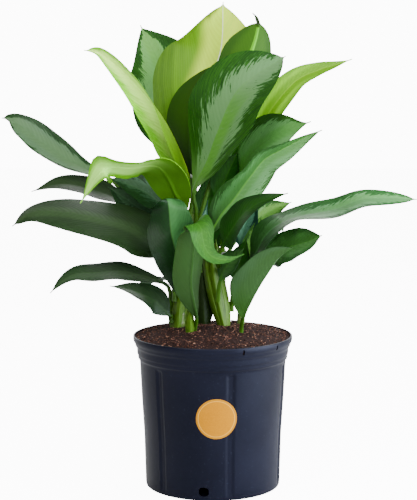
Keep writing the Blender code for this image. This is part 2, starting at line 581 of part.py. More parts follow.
def leaf_sections(row):
    """Upper and lower points of the sections across a leaf, from the stalk's foot to the tip."""
    neck = row.get("neck", 1)
    points = list(row["route"])
    if row["seat"]:
        points = seat_points(row["seat"], np.array(row["faces"][0], float)) + points
        neck += 2
    steps = row.get("steps", BLADE_STEPS)
    curve = catmull(points, CURVE_STEPS)
    stalk = evenly(curve[:neck * CURVE_STEPS + 1], STALK_STEPS)
    spine = np.vstack([stalk[:-1], evenly(curve[neck * CURVE_STEPS:], steps)])
    along = np.concatenate([np.zeros(STALK_STEPS), np.linspace(0, 1, steps + 1)])
    up_stalk = np.concatenate([np.arange(STALK_STEPS) / STALK_STEPS, np.ones(steps + 1)])
    tangent = unit(np.gradient(spine, axis=0))
    tangent[0] = unit(curve[1] - curve[0])
    face = unit(keyed(row["faces"], along))
    normal = unit(face - np.sum(face * tangent, axis=1, keepdims=True) * tangent)
    sideways = np.cross(tangent, normal)

    rib = np.where(up_stalk < 1, STALK * (FOOT_SWELL - (FOOT_SWELL - 1) * up_stalk),
                   STALK * (1 - (1 - TIP_RIB) * along))[:, None]
    half = np.maximum(row["width"] / 2 * half_width(along, row["peak"], row["blunt"]),
                      rib[:, 0] * FOOT_FLAT)
    half[-1] = rib[-1, 0]
    half = half[:, None]
    blade = np.clip(along / BLADE_START, 0, 1)[:, None]
    fold = np.radians(keyed(row["fold"], along))
    across = np.array(ACROSS)[None, :]
    reach = half * across * np.cos(fold)
    lift = half * np.abs(across) ** FOLD_CURVE * np.sin(fold) * blade
    phase = 2 * np.pi * (WAVE_TURNS * along[:, None] + np.where(across > 0, WAVE_SHIFT, 0.0))
    lift = lift + WAVE * half * across**2 * np.sin(phase) * blade
    ridge = rib * np.sqrt(np.clip(1 - (half * across / rib) ** 2, 0, 1))
    above = lift + SKIN / 2 + ridge * TOP_RIDGE * (1 - blade)
    below = lift - SKIN / 2 - ridge * (1 - (1 - UNDER_RIDGE) * blade)
    flat = spine[:, None] + sideways[:, None] * reach[..., None]
    return flat + normal[:, None] * above[..., None], flat + normal[:, None] * below[..., None]


def make_leaf(name, row, group):
    """A closed loft through the sections. Both faces are split into triangles along the same
    diagonals, so the thin blade keeps its thickness where it waves."""
    upper, lower = leaf_sections(row)
    count, wide = upper.shape[:2]
    mesh = bpy.data.meshes.new(name)
    shape = bmesh.new()
    rings = []
    for top, bottom in zip(upper, lower):
        ring = [shape.verts.new(point * MM) for point in list(top) + list(bottom[::-1])]
        rings.append(ring)
    around = 2 * wide
    for near, far in zip(rings, rings[1:]):
        for step in range(around):
            after = (step + 1) % around
            place = step if step < wide - 1 else around - 2 - step
            outer_half = place >= (wide - 1) // 2
            on_top = step < wide - 1
            if step not in (wide - 1, around - 1) and outer_half == on_top:
                shape.faces.new((near[step], far[after], far[step]))
                shape.faces.new((near[step], near[after], far[after]))
            else:
                shape.faces.new((near[step], near[after], far[step]))
                shape.faces.new((near[after], far[after], far[step]))
    shape.faces.new(rings[0][::-1])
    shape.faces.new(rings[-1])
    bmesh.ops.triangulate(shape, faces=[face for face in shape.faces if len(face.verts) > 3])
    bmesh.ops.recalc_face_normals(shape, faces=shape.faces)
    shape.to_mesh(mesh)
    shape.free()
    smooth_by_angle(mesh, 60)
    return add_object(name, mesh, group, row["tone"])


def buried_stems():
    """Name, lower axis and radius of everything that stands in the soil."""
    stems = []
    for name in CANES:
        axis, radii = cane_axis(name)
        stems.append((name, axis, radii[0]))
    for name, row in LEAVES.items():
        if row["seat"] is None:
            upper, lower = leaf_sections(row)
            spine = (upper + lower)[:3, len(ACROSS) // 2] / 2
            stems.append((name, spine, STALK * FOOT_SWELL + 2 * SKIN))
    return stems


def main():
    clear_scene()
    plant = new_collection("potted_chinese_evergreen")
    cutters = new_collection("cutters")
    make_pot(plant, cutters)
    make_soil(plant, cutters, buried_stems())
    make_label(plant)
    for name in CANES:
        make_cane(name, plant)
    for name, row in LEAVES.items():
        make_leaf(name, row, plant)


main()
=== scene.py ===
# %% [markdown]
# # A potted Chinese evergreen
#
# This lesson dresses a houseplant in its nursery pot. The construction model already holds every
# leaf, stem, the soil and the pot at their real size. Here each of them gets a finer piece in the same
# place, and the finishes that make it look alive: silver patches, ribs, bark crumbs, satin plastic.

# %% Load the construction model
import contextlib
import math

import bpy
import numpy as np
from mathutils import Matrix, Vector


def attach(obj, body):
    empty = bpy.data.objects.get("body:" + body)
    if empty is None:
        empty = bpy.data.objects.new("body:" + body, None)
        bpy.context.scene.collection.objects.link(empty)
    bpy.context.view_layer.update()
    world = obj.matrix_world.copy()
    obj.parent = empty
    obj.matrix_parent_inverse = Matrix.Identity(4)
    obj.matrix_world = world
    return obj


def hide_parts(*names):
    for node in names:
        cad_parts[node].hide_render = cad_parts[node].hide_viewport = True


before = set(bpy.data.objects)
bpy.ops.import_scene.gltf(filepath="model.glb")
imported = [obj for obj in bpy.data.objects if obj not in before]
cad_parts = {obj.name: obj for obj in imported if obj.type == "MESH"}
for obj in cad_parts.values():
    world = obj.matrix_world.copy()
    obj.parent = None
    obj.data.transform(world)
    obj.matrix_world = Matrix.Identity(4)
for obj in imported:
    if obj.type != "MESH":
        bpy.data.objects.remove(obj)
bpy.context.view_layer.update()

MM = 0.001
print("nodes in the frame:", len(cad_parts))

# %% [markdown]
# ## Small helpers
#
# Blender's operators work on what is selected, so every step starts from nothing selected. A few
# helpers take up the steps that come back for every piece: edit mode, modifiers, smooth shading and the
# closing of a skin. Colours are easier to judge as the 0 to 255 numbers of a picture, so one helper
# turns them into the linear values that a shader wants.

# %% Helpers for selecting, editing and colour
MERGE = 0.00001           # points closer than this, in metres, become one


def deselect():
    bpy.ops.object.select_all(action="DESELECT")


def pick(piece):
    deselect()
    piece.select_set(True)
    bpy.context.view_layer.objects.active = piece


def named(name):
    """The piece that an operator has just added, with its name."""
    piece = bpy.context.object
    piece.name = piece.data.name = name
    return piece


@contextlib.contextmanager
def editing(piece):
    """Edit mode with everything selected, for the lines of a with block."""
    pick(piece)
    bpy.ops.object.mode_set(mode="EDIT")
    bpy.ops.mesh.select_all(action="SELECT")
    yield
    bpy.ops.object.mode_set(mode="OBJECT")


def modify(piece, kind, **settings):
    """Add a modifier, set it and apply it."""
    pick(piece)
    modifier = piece.modifiers.new("step", kind)
    for key, value in settings.items():
        setattr(modifier, key, value)
    bpy.ops.object.modifier_apply(modifier="step")


def shade(piece, degrees=50):
    pick(piece)
    bpy.ops.object.shade_smooth_by_angle(angle=math.radians(degrees))


def dress(piece, material, degrees=50):
    """Give a piece its one finish and shade it."""
    piece.data.materials.clear()
    piece.data.materials.append(material)
    shade(piece, degrees)


def close_and_turn_outward(piece):
    """Merge doubles, fill open ends and make every face point outwards."""
    with editing(piece):
        bpy.ops.mesh.remove_doubles(threshold=MERGE)
        bpy.ops.mesh.select_all(action="SELECT")
        bpy.ops.mesh.fill_holes(sides=0)
        bpy.ops.mesh.select_all(action="SELECT")
        bpy.ops.mesh.normals_make_consistent(inside=False)


def store_levels(mesh, name, levels):
    """Keep one grey level for each point, for a material to read."""
    layer = mesh.color_attributes.new(name, "FLOAT_COLOR", "POINT")
    layer.data.foreach_set("color", np.stack([levels] * 3 + [np.ones_like(levels)], axis=1).ravel())


def rgb(red, green, blue):
    """Linear colour from picture values of 0 to 255."""
    parts = [value / 255 for value in (red, green, blue)]
    return (*[part / 12.92 if part <= 0.04045 else ((part + 0.055) / 1.055) ** 2.4 for part in parts], 1)


print("a mid leaf green is", [round(value, 3) for value in rgb(90, 140, 80)])

# %% [markdown]
# ## The camera
#
# The photograph was taken from about 2.4 m away, a little above the leaves and tilted down, with a long
# lens. The rim, the band and the foot of the pot are circles of known size, so their ellipses gave the
# distance, the height and the tilt.

# %% Camera
PHOTO_WIDTH, PHOTO_HEIGHT = 417, 500
SENSOR = 36
FOCAL_PIXELS = 1505
CAMERA_PLACE = (-0.0068, -2.397, 0.691)
CAMERA_TILT = 7.32

bpy.ops.object.camera_add(location=CAMERA_PLACE, rotation=(math.radians(90 - CAMERA_TILT), 0, 0))
camera = bpy.context.object
camera.name = "camera"
camera.data.sensor_width = SENSOR
camera.data.lens = FOCAL_PIXELS * SENSOR / max(PHOTO_WIDTH, PHOTO_HEIGHT)
bpy.context.scene.camera = camera
print("lens in mm:", round(camera.data.lens, 1))

# %% [markdown]
# ## A helper for materials
#
# A procedural material is a small graph of maths and noise. Writing it node by node is long, so these
# classes give each kind of step one short method. A method returns a value that can be added and
# multiplied like a number, and that the next step takes.

# %% Material graph helper


class Value:
    """What a node gives. Each sum or product with it adds a maths node to the graph."""

    def __init__(self, graph, socket):
        self.graph, self.socket = graph, socket

    def __add__(self, other):
        return self.graph.math("ADD", self, other)

    def __sub__(self, other):
        return self.graph.math("SUBTRACT", self, other)

    def __rsub__(self, other):
        return self.graph.math("SUBTRACT", other, self)

    def __mul__(self, other):
        return self.graph.math("MULTIPLY", self, other)

    def __truediv__(self, other):
        return self.graph.math("DIVIDE", self, other)


class Graph:
    """The nodes of a material or a world, around the shader that it starts with."""

    def __init__(self, owner, shader):
        owner.use_nodes = True
        self.owner, self.tree = owner, owner.node_tree
        self.shader = self.tree.nodes[shader]

    def feed(self, socket, value):
        if isinstance(value, Value):
            self.tree.links.new(value.socket, socket)
        else:
            socket.default_value = value

    def give(self, name, value):
        """Feed an input of the shader."""
        self.feed(self.shader.inputs[name], value)

    def node(self, kind, inputs=(), **settings):
        """A new node, with values or sockets for its inputs by place or by name."""
        made = self.tree.nodes.new(kind)
        for key, value in settings.items():
            setattr(made, key, value)
        for place, value in dict(inputs).items():
            self.feed(made.inputs[place], value)
        return made

    def result(self, kind, inputs=(), output=0, **settings):
        """What a new node gives."""
        return Value(self, self.node(kind, inputs, **settings).outputs[output])

    def math(self, operation, first, second=0.0):
        return self.result("ShaderNodeMath", enumerate((first, second)), operation=operation)

    def ramp(self, value, low, high, start=0.0, end=1.0):
        """A soft step: start below low, end above high."""
        return self.result("ShaderNodeMapRange", enumerate((value, low, high, start, end)),
                          interpolation_type="SMOOTHSTEP")

    def fall(self, value, low, high):
        """A soft step down: 1 below low, 0 above high."""
        return self.ramp(value, low, high, 1.0, 0.0)

    def join(self, x, y, z=0.0):
        return self.result("ShaderNodeCombineXYZ", enumerate((x, y, z)))

    def split(self, vector):
        parts = self.node("ShaderNodeSeparateXYZ", {0: vector})
        return [Value(self, part) for part in parts.outputs]

    def noise(self, vector, scale, detail=2.0, roughness=0.5):
        return self.result("ShaderNodeTexNoise", {"Vector": vector, "Scale": scale, "Detail": detail,
                                                 "Roughness": roughness})

    def mix(self, factor, first, second, blend="MIX"):
        return self.result("ShaderNodeMix", {0: factor, 6: first, 7: second}, 2, data_type="RGBA",
                          blend_type=blend)

    def lay(self, colour, *layers):
        """Paints laid over a colour, each with its own cover from 0 to 1."""
        for cover, paint in layers:
            colour = self.mix(cover, colour, paint)
        return colour

    def tint(self, colour, tint):
        return self.mix(1.0, colour, tint, "MULTIPLY")

    def uv(self, name):
        """The two parts of a UV map."""
        return self.split(self.result("ShaderNodeUVMap", uv_map=name))[:2]

    def attribute(self, name, output="Fac"):
        return self.result("ShaderNodeAttribute", output=output, attribute_name=name)

    def place(self):
        return self.result("ShaderNodeTexCoord", output="Object")

    def stretched(self, vector, scale):
        return self.result("ShaderNodeMapping", {"Vector": vector, "Scale": scale})

    def bump(self, height, distance, strength):
        self.give("Normal", self.result("ShaderNodeBump", {"Strength": strength, "Distance": distance,
                                                          "Height": height}))


def material_graph(name, roughness=0.5, specular=0.5):
    graph = Graph(bpy.data.materials.new(name), "Principled BSDF")
    graph.give("Roughness", roughness)
    graph.give("Specular IOR Level", specular)
    return graph


print("graph helper ready")

# %% [markdown]
# ## Floor and light
#
# The photograph shows the plant against plain white, which also draws the pale rims on the dark pot.
# The sky is therefore brighter behind the plant and dim behind the camera, so that glossy leaves and
# plastic stay deep in front. What the camera sees of the sky and the floor is lifted to near white, as a
# photographer does with lamps that light only the backdrop. A large soft lamp from the upper left models
# the leaves, a weaker one in front fills their shadows, a tall one on the right draws the long highlight
# down the pot's side, and one behind lights the leaves' rims.

# %% Floor, sky and lamps
SKY_SIDE, SKY_BACK = 0.2, 0.9          # where the sky starts to brighten, as a share towards +Y
SKY_DIM, SKY_BRIGHT = 0.3, 2.2
BACKDROP = 12                          # brightness of the sky and the floor as the camera sees them
FLOOR_SIZE, FLOOR_DROP = 14, 0.0005    # metres


def seen_by_camera(graph, unseen, seen):
    """A value that is different for what the camera sees directly."""
    rays = graph.result("ShaderNodeLightPath", output="Is Camera Ray")
    return graph.result("ShaderNodeMix", {0: rays, 2: unseen, 3: seen})


def lamp(name, place, target, size, power, colour=(1, 1, 1)):
    bpy.ops.object.light_add(type="AREA", location=place)
    light = bpy.context.object
    light.name = name
    light.data.shape = "RECTANGLE"
    light.data.size, light.data.size_y = size
    light.data.energy = power
    light.data.color = colour
    light.rotation_euler = (Vector(target) - Vector(place)).to_track_quat("-Z", "Y").to_euler()


deselect()
bpy.ops.mesh.primitive_plane_add(size=FLOOR_SIZE, location=(0, 0, -FLOOR_DROP))
floor = bpy.context.object
floor.name = "floor"
paint = material_graph("floor_paint", roughness=0.9)
paint.give("Base Color", (0.6, 0.6, 0.605, 1))
paint.give("Emission Color", (1, 1, 1, 1))
paint.give("Emission Strength", seen_by_camera(paint, 0.0, BACKDROP - 1))
floor.data.materials.append(paint.owner)

bpy.context.scene.world = bpy.data.worlds.new("studio")
sky = Graph(bpy.context.scene.world, "Background")
sky.give("Color", (1, 1, 1, 1))
towards_back = sky.split(sky.result("ShaderNodeTexCoord", output="Generated"))[1]
unseen = sky.ramp(towards_back, SKY_SIDE, SKY_BACK, SKY_DIM, SKY_BRIGHT)
sky.give("Strength", seen_by_camera(sky, unseen, BACKDROP))

lamp("key_lamp", (-1.0, -1.8, 2.2), (0, 0, 0.5), (1.8, 1.8), 72)
lamp("front_lamp", (0.8, -2.5, 1.4), (0, 0, 0.45), (1.6, 1.3), 48)
lamp("right_panel", (1.15, -0.45, 0.5), (0, 0, 0.25), (1.4, 1.0), 58, (0.80, 0.86, 1))
lamp("back_lamp", (0.4, 1.6, 1.9), (0, 0, 0.5), (1.4, 1.0), 26)

# %% [markdown]
# ## The leaf finishes
#
# A leaf of this plant has a silver green middle, a dark green edge, and a broken border between them
# whose streaks follow the side ribs. Each leaf carries two UV maps for this. "blade" says how far out
# and how far up a point is, from 0 to 1. "ribs" holds real lengths: the distance from the midrib, and
# the place along it that the side rib through the point starts from. Noise stretched along the side
# ribs then breaks the border just as the real one is broken. Young leaves are lime, old ones darker.

# %% Colours of the leaf finishes
# The colours are picture values. The upper side has a middle, an edge with lighter streaks, a base, a
# midrib (rib) and a glow beside it, which reaches so many decimetres in the left and in the right half
# and fades between the two shares of the length in "glow_end". "border" says for both halves where the
# edge zone starts, from 0 at the midrib to 1 at the margin, "slope" how it wanders from base to tip,
# "soft" the width of its blur, "ragged" how broken it is, "flecks" how many stray spots there are, "tip"
# how much the edge zone closes in at the tip and "base_end" how far the base colour runs. "left" and
# "right" tint one half of a leaf against the other as painted light and shade: a darker half is painted
# shade, a lighter half painted light. "lines" is the strength of the side ribs and "rib_show" that of
# the midrib.
# The underside has the same with "under" in the name. Where its edge or its midrib has no colour of its
# own, it takes the middle's, and a lighter one. "like" starts a look from another look.
PLAIN_LEAF = dict(rib=(130, 165, 100), rib_width=1.0, glow=(110, 150, 80), glow_reach=(0.16, 0.16),
    border=(0.68, 0.68), slope=0.0, soft=0.05, ragged=0.26, flecks=0.5, tip=0.5, base_end=0.26,
    left=(1, 1, 1), right=(1, 1, 1), under=(84, 128, 78), under_base=(70, 116, 50), under_edge=None,
    lines=0.03, under_lines=0.05, under_base_end=(0.05, 0.5), under_rib=None, under_rib_width=1.0,
    rib_show=0.4, under_rib_show=0.12, glow_end=(2, 3))
LEAF_LOOKS = {
    "lime": dict(middle=(148, 184, 40), edge=(98, 138, 4), edge_light=(112, 150, 10), base=(92, 132, 2),
        rib=(250, 252, 232), glow=(220, 244, 150), glow_reach=(0.44, 0.6), border=(0.62, 0.95), soft=0.34,
        ragged=0.12, flecks=0.0, right=(1.25, 1.2, 1.5), rib_width=1.1, under=(150, 180, 70),
        under_base=(120, 150, 40), rib_show=0.8, slope=0.9),
    "lime_small": dict(middle=(158, 188, 146), edge=(70, 120, 56), edge_light=(104, 150, 70),
        base=(70, 126, 50), rib=(150, 190, 120), glow=(150, 184, 120), border=(0.6, 0.6), ragged=0.5,
        flecks=1.0, under=(120, 156, 100), under_base=(70, 120, 50), soft=0.025),
    "lime_young": dict(middle=(186, 216, 116), edge=(128, 172, 40), edge_light=(150, 188, 66),
        base=(96, 142, 20), rib=(206, 224, 150), glow=(150, 186, 60), border=(0.7, 0.7), soft=0.4,
        ragged=0.1, flecks=0.05, under=(150, 180, 70), under_base=(120, 150, 40), base_end=0.42,
        rib_show=0.2),
    "lime_arch": dict(middle=(190, 212, 150), edge=(150, 190, 40), edge_light=(150, 190, 40),
        base=(100, 140, 4), glow=(180, 205, 120), border=(0.6, 0.6), soft=0.2, ragged=0.2, flecks=0.2,
        under=(192, 218, 158), under_base=(96, 142, 0), under_edge=(140, 186, 40),
        under_base_end=(0.3, 0.66), rib_show=0.1, under_rib_show=0.0, rib=(170, 200, 110),
        under_lines=0.0),
    "dark": dict(middle=(30, 86, 16), edge=(18, 66, 10), edge_light=(28, 84, 14), base=(34, 96, 8),
        rib=(70, 124, 44), glow=(36, 96, 16), under=(62, 104, 56), under_base=(58, 110, 40), soft=0.2,
        ragged=0.2, flecks=0.1, lines=0.05),
    "dark_ribbed": dict(like="dark", rib=(84, 136, 52), glow=(44, 108, 24), under=(76, 116, 62),
        under_base=(66, 112, 40), under_edge=(80, 118, 72), under_lines=0.14, lines=0.03),
    "dark_low": dict(like="dark", middle=(56, 104, 44), edge=(26, 70, 20), edge_light=(38, 84, 28),
        rib=(84, 130, 60), glow=(50, 98, 36), lines=0.09, right=(2.0, 1.6, 2.4)),
    "dark_blue": dict(like="dark", middle=(44, 84, 44), edge=(34, 70, 36), edge_light=(44, 84, 44),
        base=(44, 90, 30), rib=(106, 150, 84), glow=(50, 94, 50), left=(0.42, 0.66, 0.38),
        right=(3.6, 3.8, 3.4), under=(62, 108, 70), under_base=(60, 110, 50), lines=0.03),
    "dark_low_left": dict(middle=(52, 86, 46), edge=(30, 66, 28), edge_light=(42, 80, 36),
        base=(40, 84, 26), rib=(84, 120, 72), glow=(56, 92, 48), soft=0.25, ragged=0.3, flecks=0.2,
        left=(1.5, 1.35, 1.5), under=(62, 98, 60), under_base=(50, 90, 40)),
    "dark_olive": dict(middle=(60, 120, 20), edge=(44, 96, 14), edge_light=(50, 104, 16),
        base=(36, 84, 4), under=(56, 102, 2), under_base=(24, 54, 0), under_edge=(50, 98, 4), soft=0.2,
        flecks=0.1),
    "dark_tip": dict(like="dark_olive", under=(78, 126, 4), under_base=(60, 104, 2),
        under_edge=(60, 110, 2), under_lines=0.08, under_rib=(146, 194, 70), under_rib_width=3.2,
        under_rib_show=0.8),
    "silver": dict(middle=(126, 160, 116), edge=(26, 84, 6), edge_light=(60, 120, 22),
        base=(110, 150, 80), rib=(120, 166, 84), glow=(118, 162, 88), border=(0.50, 0.60), slope=-0.15,
        tip=-0.35, ragged=0.5, flecks=1.1, under=(112, 148, 100), under_base=(84, 134, 50),
        glow_reach=(0.03, 0.28), rib_show=0.15, glow_end=(0.45, 0.8), soft=0.025),
    "silver_back": dict(middle=(154, 190, 138), edge=(38, 96, 20), edge_light=(64, 124, 40),
        base=(90, 140, 60), rib=(120, 160, 100), glow=(150, 186, 128), border=(0.6, 0.46), ragged=0.3,
        flecks=0.8, tip=0.2, under=(112, 148, 100), under_base=(84, 134, 50), rib_show=0.2, soft=0.025),
    "silver_deep": dict(middle=(116, 156, 108), edge=(30, 82, 16), edge_light=(54, 110, 24),
        base=(76, 146, 18), rib=(96, 140, 72), glow=(104, 150, 90), border=(0.66, 0.95), ragged=0.4,
        base_end=0.42, under=(84, 128, 84), under_base=(40, 104, 20), flecks=0.9, rib_show=0.3,
        soft=0.025),
    "silver_end": dict(middle=(172, 202, 172), edge=(66, 124, 70), edge_light=(110, 156, 106),
        base=(54, 108, 44), rib=(140, 180, 140), glow=(150, 186, 146), border=(0.5, 0.7), ragged=0.5,
        flecks=1.0, base_end=0.85, left=(0.75, 0.85, 0.7), tip=0.1, under=(110, 150, 112),
        under_base=(40, 96, 30), rib_show=0.2, right=(0.6, 0.68, 0.6), soft=0.025),
    "silver_teal": dict(middle=(58, 108, 92), edge=(24, 78, 62), edge_light=(40, 92, 72),
        base=(30, 90, 60), rib=(104, 150, 120), glow=(120, 160, 140), border=(0.5, 0.5), ragged=0.5,
        flecks=1.0, under=(80, 126, 100), under_base=(40, 96, 50), left=(1.5, 1.4, 1.4)),
    "silver_mottled": dict(middle=(84, 122, 92), edge=(22, 64, 22), edge_light=(34, 80, 30),
        base=(40, 84, 30), rib=(84, 120, 80), glow=(60, 100, 60), border=(0.3, 0.66), ragged=0.6,
        flecks=1.2, under=(80, 116, 80), under_base=(40, 90, 30), soft=0.025),
    "pale": dict(middle=(222, 248, 190), edge=(146, 192, 40), edge_light=(176, 212, 84),
        base=(104, 146, 34), rib=(226, 240, 200), glow=(222, 248, 190), border=(0.6, 0.66), soft=0.3,
        ragged=0.2, flecks=0.2, tip=0.3, base_end=0.55, under=(170, 198, 110), under_base=(120, 160, 30),
        under_edge=(160, 192, 80), rib_show=0.2, left=(1.05, 1.12, 1.0)),
    "pale_folded": dict(middle=(146, 182, 142), edge=(84, 130, 70), edge_light=(104, 146, 90),
        base=(66, 112, 50), rib=(150, 192, 116), glow=(134, 174, 122), border=(0.7, 0.9), ragged=0.4,
        flecks=1.2, left=(0.38, 0.5, 0.34), under=(120, 156, 112), under_base=(84, 130, 60), soft=0.03),
    "grey": dict(middle=(56, 84, 46), edge=(40, 74, 30), edge_light=(54, 88, 42), base=(44, 88, 28),
        rib=(86, 118, 70), glow=(70, 102, 56), soft=0.25, ragged=0.3, flecks=0.2, left=(1.15, 1.1, 1.2),
        under=(70, 98, 58), under_base=(48, 84, 28), under_edge=(76, 96, 70), under_lines=0.0,
        under_rib_show=0.05),
    "grey_silver": dict(middle=(120, 148, 116), edge=(34, 76, 30), edge_light=(60, 100, 50),
        base=(104, 136, 96), rib=(124, 152, 116), glow=(122, 150, 114), border=(0.9, 0.66), ragged=0.3,
        flecks=0.7, under=(104, 130, 104), under_base=(84, 120, 70), rib_show=0.1, under_rib_show=0.05),
    "sheath": dict(middle=(98, 132, 40), edge=(72, 108, 22), edge_light=(120, 150, 60),
        base=(116, 146, 52), rib=(130, 160, 80), glow=(112, 146, 52), border=(0.5, 0.5), soft=0.3,
        ragged=0.3, flecks=0.0, lines=0.0, under=(72, 108, 30), under_base=(72, 108, 30)),
    "sheath_shaded": dict(like="sheath", middle=(36, 62, 14), edge=(22, 44, 8), edge_light=(44, 74, 20),
        base=(40, 62, 20), rib=(60, 90, 30), glow=(44, 72, 20), under=(30, 56, 14),
        under_base=(30, 56, 14)),
    "green": dict(middle=(112, 164, 84), edge=(70, 128, 50), edge_light=(90, 146, 66), base=(70, 130, 30),
        rib=(112, 160, 84), glow=(84, 140, 54), border=(0.5, 0.5), ragged=0.6, flecks=1.0,
        under=(70, 112, 50), under_base=(52, 88, 34), under_edge=(66, 106, 44), soft=0.03),
}
print("leaf finishes:", ", ".join(LEAF_LOOKS))

# %% Paint and shared parts of the leaf materials
STALK_COLOUR, STALK_FOOT_COLOUR = (78, 122, 28), (92, 132, 44)
RIB_SPACING = 0.10        # decimetres between two side ribs
PAINT_LEVEL = 0.38        # paint for a dim colour, as a share of the colour
LIFT = 3.4                # how much more of it a bright colour gets
DRAIN, DRAIN_FROM = 2.6, 0.12
BRIGHTEST = 0.92


def leaf_rgb(colour):
    """Paint for a colour as it should look in the picture. Blender's view dims bright colours and washes
    them out, so a bright colour gets more paint and has its weaker channels drained."""
    parts = rgb(*colour)[:3]
    top = max(parts)
    drain = DRAIN * max(0, top - DRAIN_FROM)
    level = PAINT_LEVEL * (1 + LIFT * top**2)
    return (*[min(BRIGHTEST, level * part * (part / top) ** drain) for part in parts], 1)


def leaf_ways(graph):
    """Where a point of a leaf is: its side from -1 to 1, its share of the way out, its distance from the
    midrib, its share of the length, the start of its side rib, and the wave of the side ribs."""
    across, along = graph.uv("blade")
    from_rib, rib_start = graph.uv("ribs")
    side = across * 2 - 1
    ribs = graph.math("SINE", rib_start * (2 * math.pi / RIB_SPACING))
    return side, graph.math("ABSOLUTE", side), graph.math("ABSOLUTE", from_rib), along, rib_start, ribs


def on_midrib(graph, near, along, widths, scale, fade):
    """1 on the midrib, whose half width tapers from base to tip, and 0 beside it."""
    base, tip = widths
    width = graph.ramp(along, 0.0, 1.0, base * scale, tip * scale)
    return graph.fall(near / width, 0.8, fade)


def stalk_and_tone(graph, colour, along):
    """Turn the colour green at the stalk and multiply it by the tone, painted light on leaves in shade."""
    colour = graph.lay(colour, (graph.fall(along, -0.02, 0.03), leaf_rgb(STALK_COLOUR)),
                       (graph.fall(along, -0.9, -0.3), leaf_rgb(STALK_FOOT_COLOUR)))
    return graph.tint(colour, graph.attribute("tone", "Color"))


print("paint for a mid leaf green:", [round(value, 3) for value in leaf_rgb((90, 140, 80))])

# %% [markdown]
# ## The upper side and the underside
#
# The border is where a measure of the way out, shaken by streaks along the side ribs, passes a limit.
# The same measure tells how many dark specks lie near the border. The colours are then laid over each
# other, from the glow beside the midrib to the midrib itself. The underside is simpler and duller.

# %% Build the leaf materials


def leaf_upper_material(name, look):
    graph = material_graph(name + "_upper", roughness=0.42, specular=0.16)
    side, out, near, along, rib_start, ribs = leaf_ways(graph)
    half = graph.math("SIGN", side)
    on_right = graph.ramp(side, -0.04, 0.04)
    paint = {key: leaf_rgb(look[key]) for key in ("middle", "edge", "edge_light", "base", "rib", "glow")}

    def brushwork(lengthwise, outward, apart, detail, roughness=0.5):
        """Noise stretched along the side ribs, with other streaks in the other half."""
        return graph.noise(graph.join(rib_start * lengthwise, out * outward, half * apart), 1.0, detail,
                           roughness)

    def by_half(left, right):
        return on_right * (right - left) + left

    streaks = brushwork(15, 3.4, 4.3, 3.5, 0.6)
    wander = graph.noise(graph.join(rib_start * 3.5, half * 9.1), 1.0)
    specks = brushwork(34, 9, 2.7, 2.0)
    cloud = brushwork(5, 3, 1, 2.0)
    brushed = brushwork(34, 1.6, 6.1, 3.0, 0.6)

    reach = out + graph.ramp(along, 0.84, 1.0) * look["tip"]
    reach += (streaks - 0.5) * (look["ragged"] * 2.6) + (wander - 0.5) * 0.42
    past = reach - (by_half(*look["border"]) + (along - 0.5) * look["slope"])
    edge = graph.ramp(past, -look["soft"], look["soft"])
    limit = 0.78 - graph.ramp(past, -0.42, 0.0) * (0.16 * look["flecks"] + 0.03)
    dark_specks = graph.ramp(specks - limit, 0.0, 0.03) * (0.85 * look["flecks"])
    light_specks = graph.ramp(0.38 - specks, 0.0, 0.04) * graph.fall(past, 0.05, 0.30)

    beside = graph.ramp(near / by_half(*look["glow_reach"]), 0.45, 1.0)
    beside = graph.math("MAXIMUM", beside, graph.ramp(along, *look["glow_end"]))
    margin = graph.mix(graph.ramp(brushed, 0.42, 0.62), paint["edge"], paint["edge_light"])
    colour = graph.lay(paint["glow"], (beside, paint["middle"]), (edge, margin),
                       (dark_specks, paint["edge"]),
                       (light_specks * (0.6 * look["flecks"]), paint["middle"]),
                       (graph.fall(along, 0.0, look["base_end"]), paint["base"]))
    # Painted light and shade: each half is multiplied by its "left" or "right" tint, darker for a shaded
    # half, lighter for a lit one.
    colour = graph.tint(colour, graph.mix(on_right, (*look["left"], 1), (*look["right"], 1)))
    tone = ribs * look["lines"] + cloud * 0.22 + brushed * 0.12 + 0.83
    on_rib = on_midrib(graph, near, along, (0.020, 0.006), look["rib_width"], 1.25) * look["rib_show"]
    colour = graph.lay(graph.tint(colour, graph.join(tone, tone, tone)), (on_rib, paint["rib"]))
    graph.give("Base Color", stalk_and_tone(graph, colour, along))
    graph.give("Roughness", cloud * 0.14 + 0.38)
    grain = graph.noise(graph.place(), 900)
    graph.bump(ribs * 0.6 + grain * 0.25, 0.00025, 0.3)
    return graph.owner


def leaf_under_material(name, look):
    graph = material_graph(name + "_under", roughness=0.55, specular=0.12)
    side, out, near, along, rib_start, ribs = leaf_ways(graph)
    lines = graph.ramp(ribs, 0.4, 1.0)
    cloud = graph.noise(graph.join(rib_start * 6, out * 3), 1.0, 3.0)
    brushed = graph.noise(graph.join(rib_start * 30, out * 1.6), 1.0, 3.0, 0.6)
    middle = look["under"]
    edge = look["under_edge"] or middle
    rib = look["under_rib"] or [min(255, value * 1.25 + 14) for value in middle]
    colour = graph.lay(leaf_rgb(middle), (graph.ramp(out + (cloud - 0.5) * 0.5, 0.5, 0.85), leaf_rgb(edge)),
                       (graph.fall(along, *look["under_base_end"]), leaf_rgb(look["under_base"])))
    tone = cloud * 0.2 + brushed * 0.14 + lines * look["under_lines"] + 0.83
    on_rib = on_midrib(graph, near, along, (0.026, 0.008), look["under_rib_width"], 1.2)
    colour = graph.lay(graph.tint(colour, graph.join(tone, tone, tone)),
                       (on_rib * look["under_rib_show"], leaf_rgb(rib)))
    graph.give("Base Color", stalk_and_tone(graph, colour, along))
    grain = graph.noise(graph.place(), 700)
    graph.bump(lines * (8 * look["under_lines"]) + grain * 0.25, 0.0002, 0.25)
    return graph.owner


leaf_materials = {}
for name, look in LEAF_LOOKS.items():
    look = {**PLAIN_LEAF, **LEAF_LOOKS.get(look.get("like"), {}), **look}
    leaf_materials[name] = [leaf_upper_material("leaf_" + name, look),
                            leaf_under_material("leaf_" + name, look)]
print("leaf materials:", 2 * len(leaf_materials))

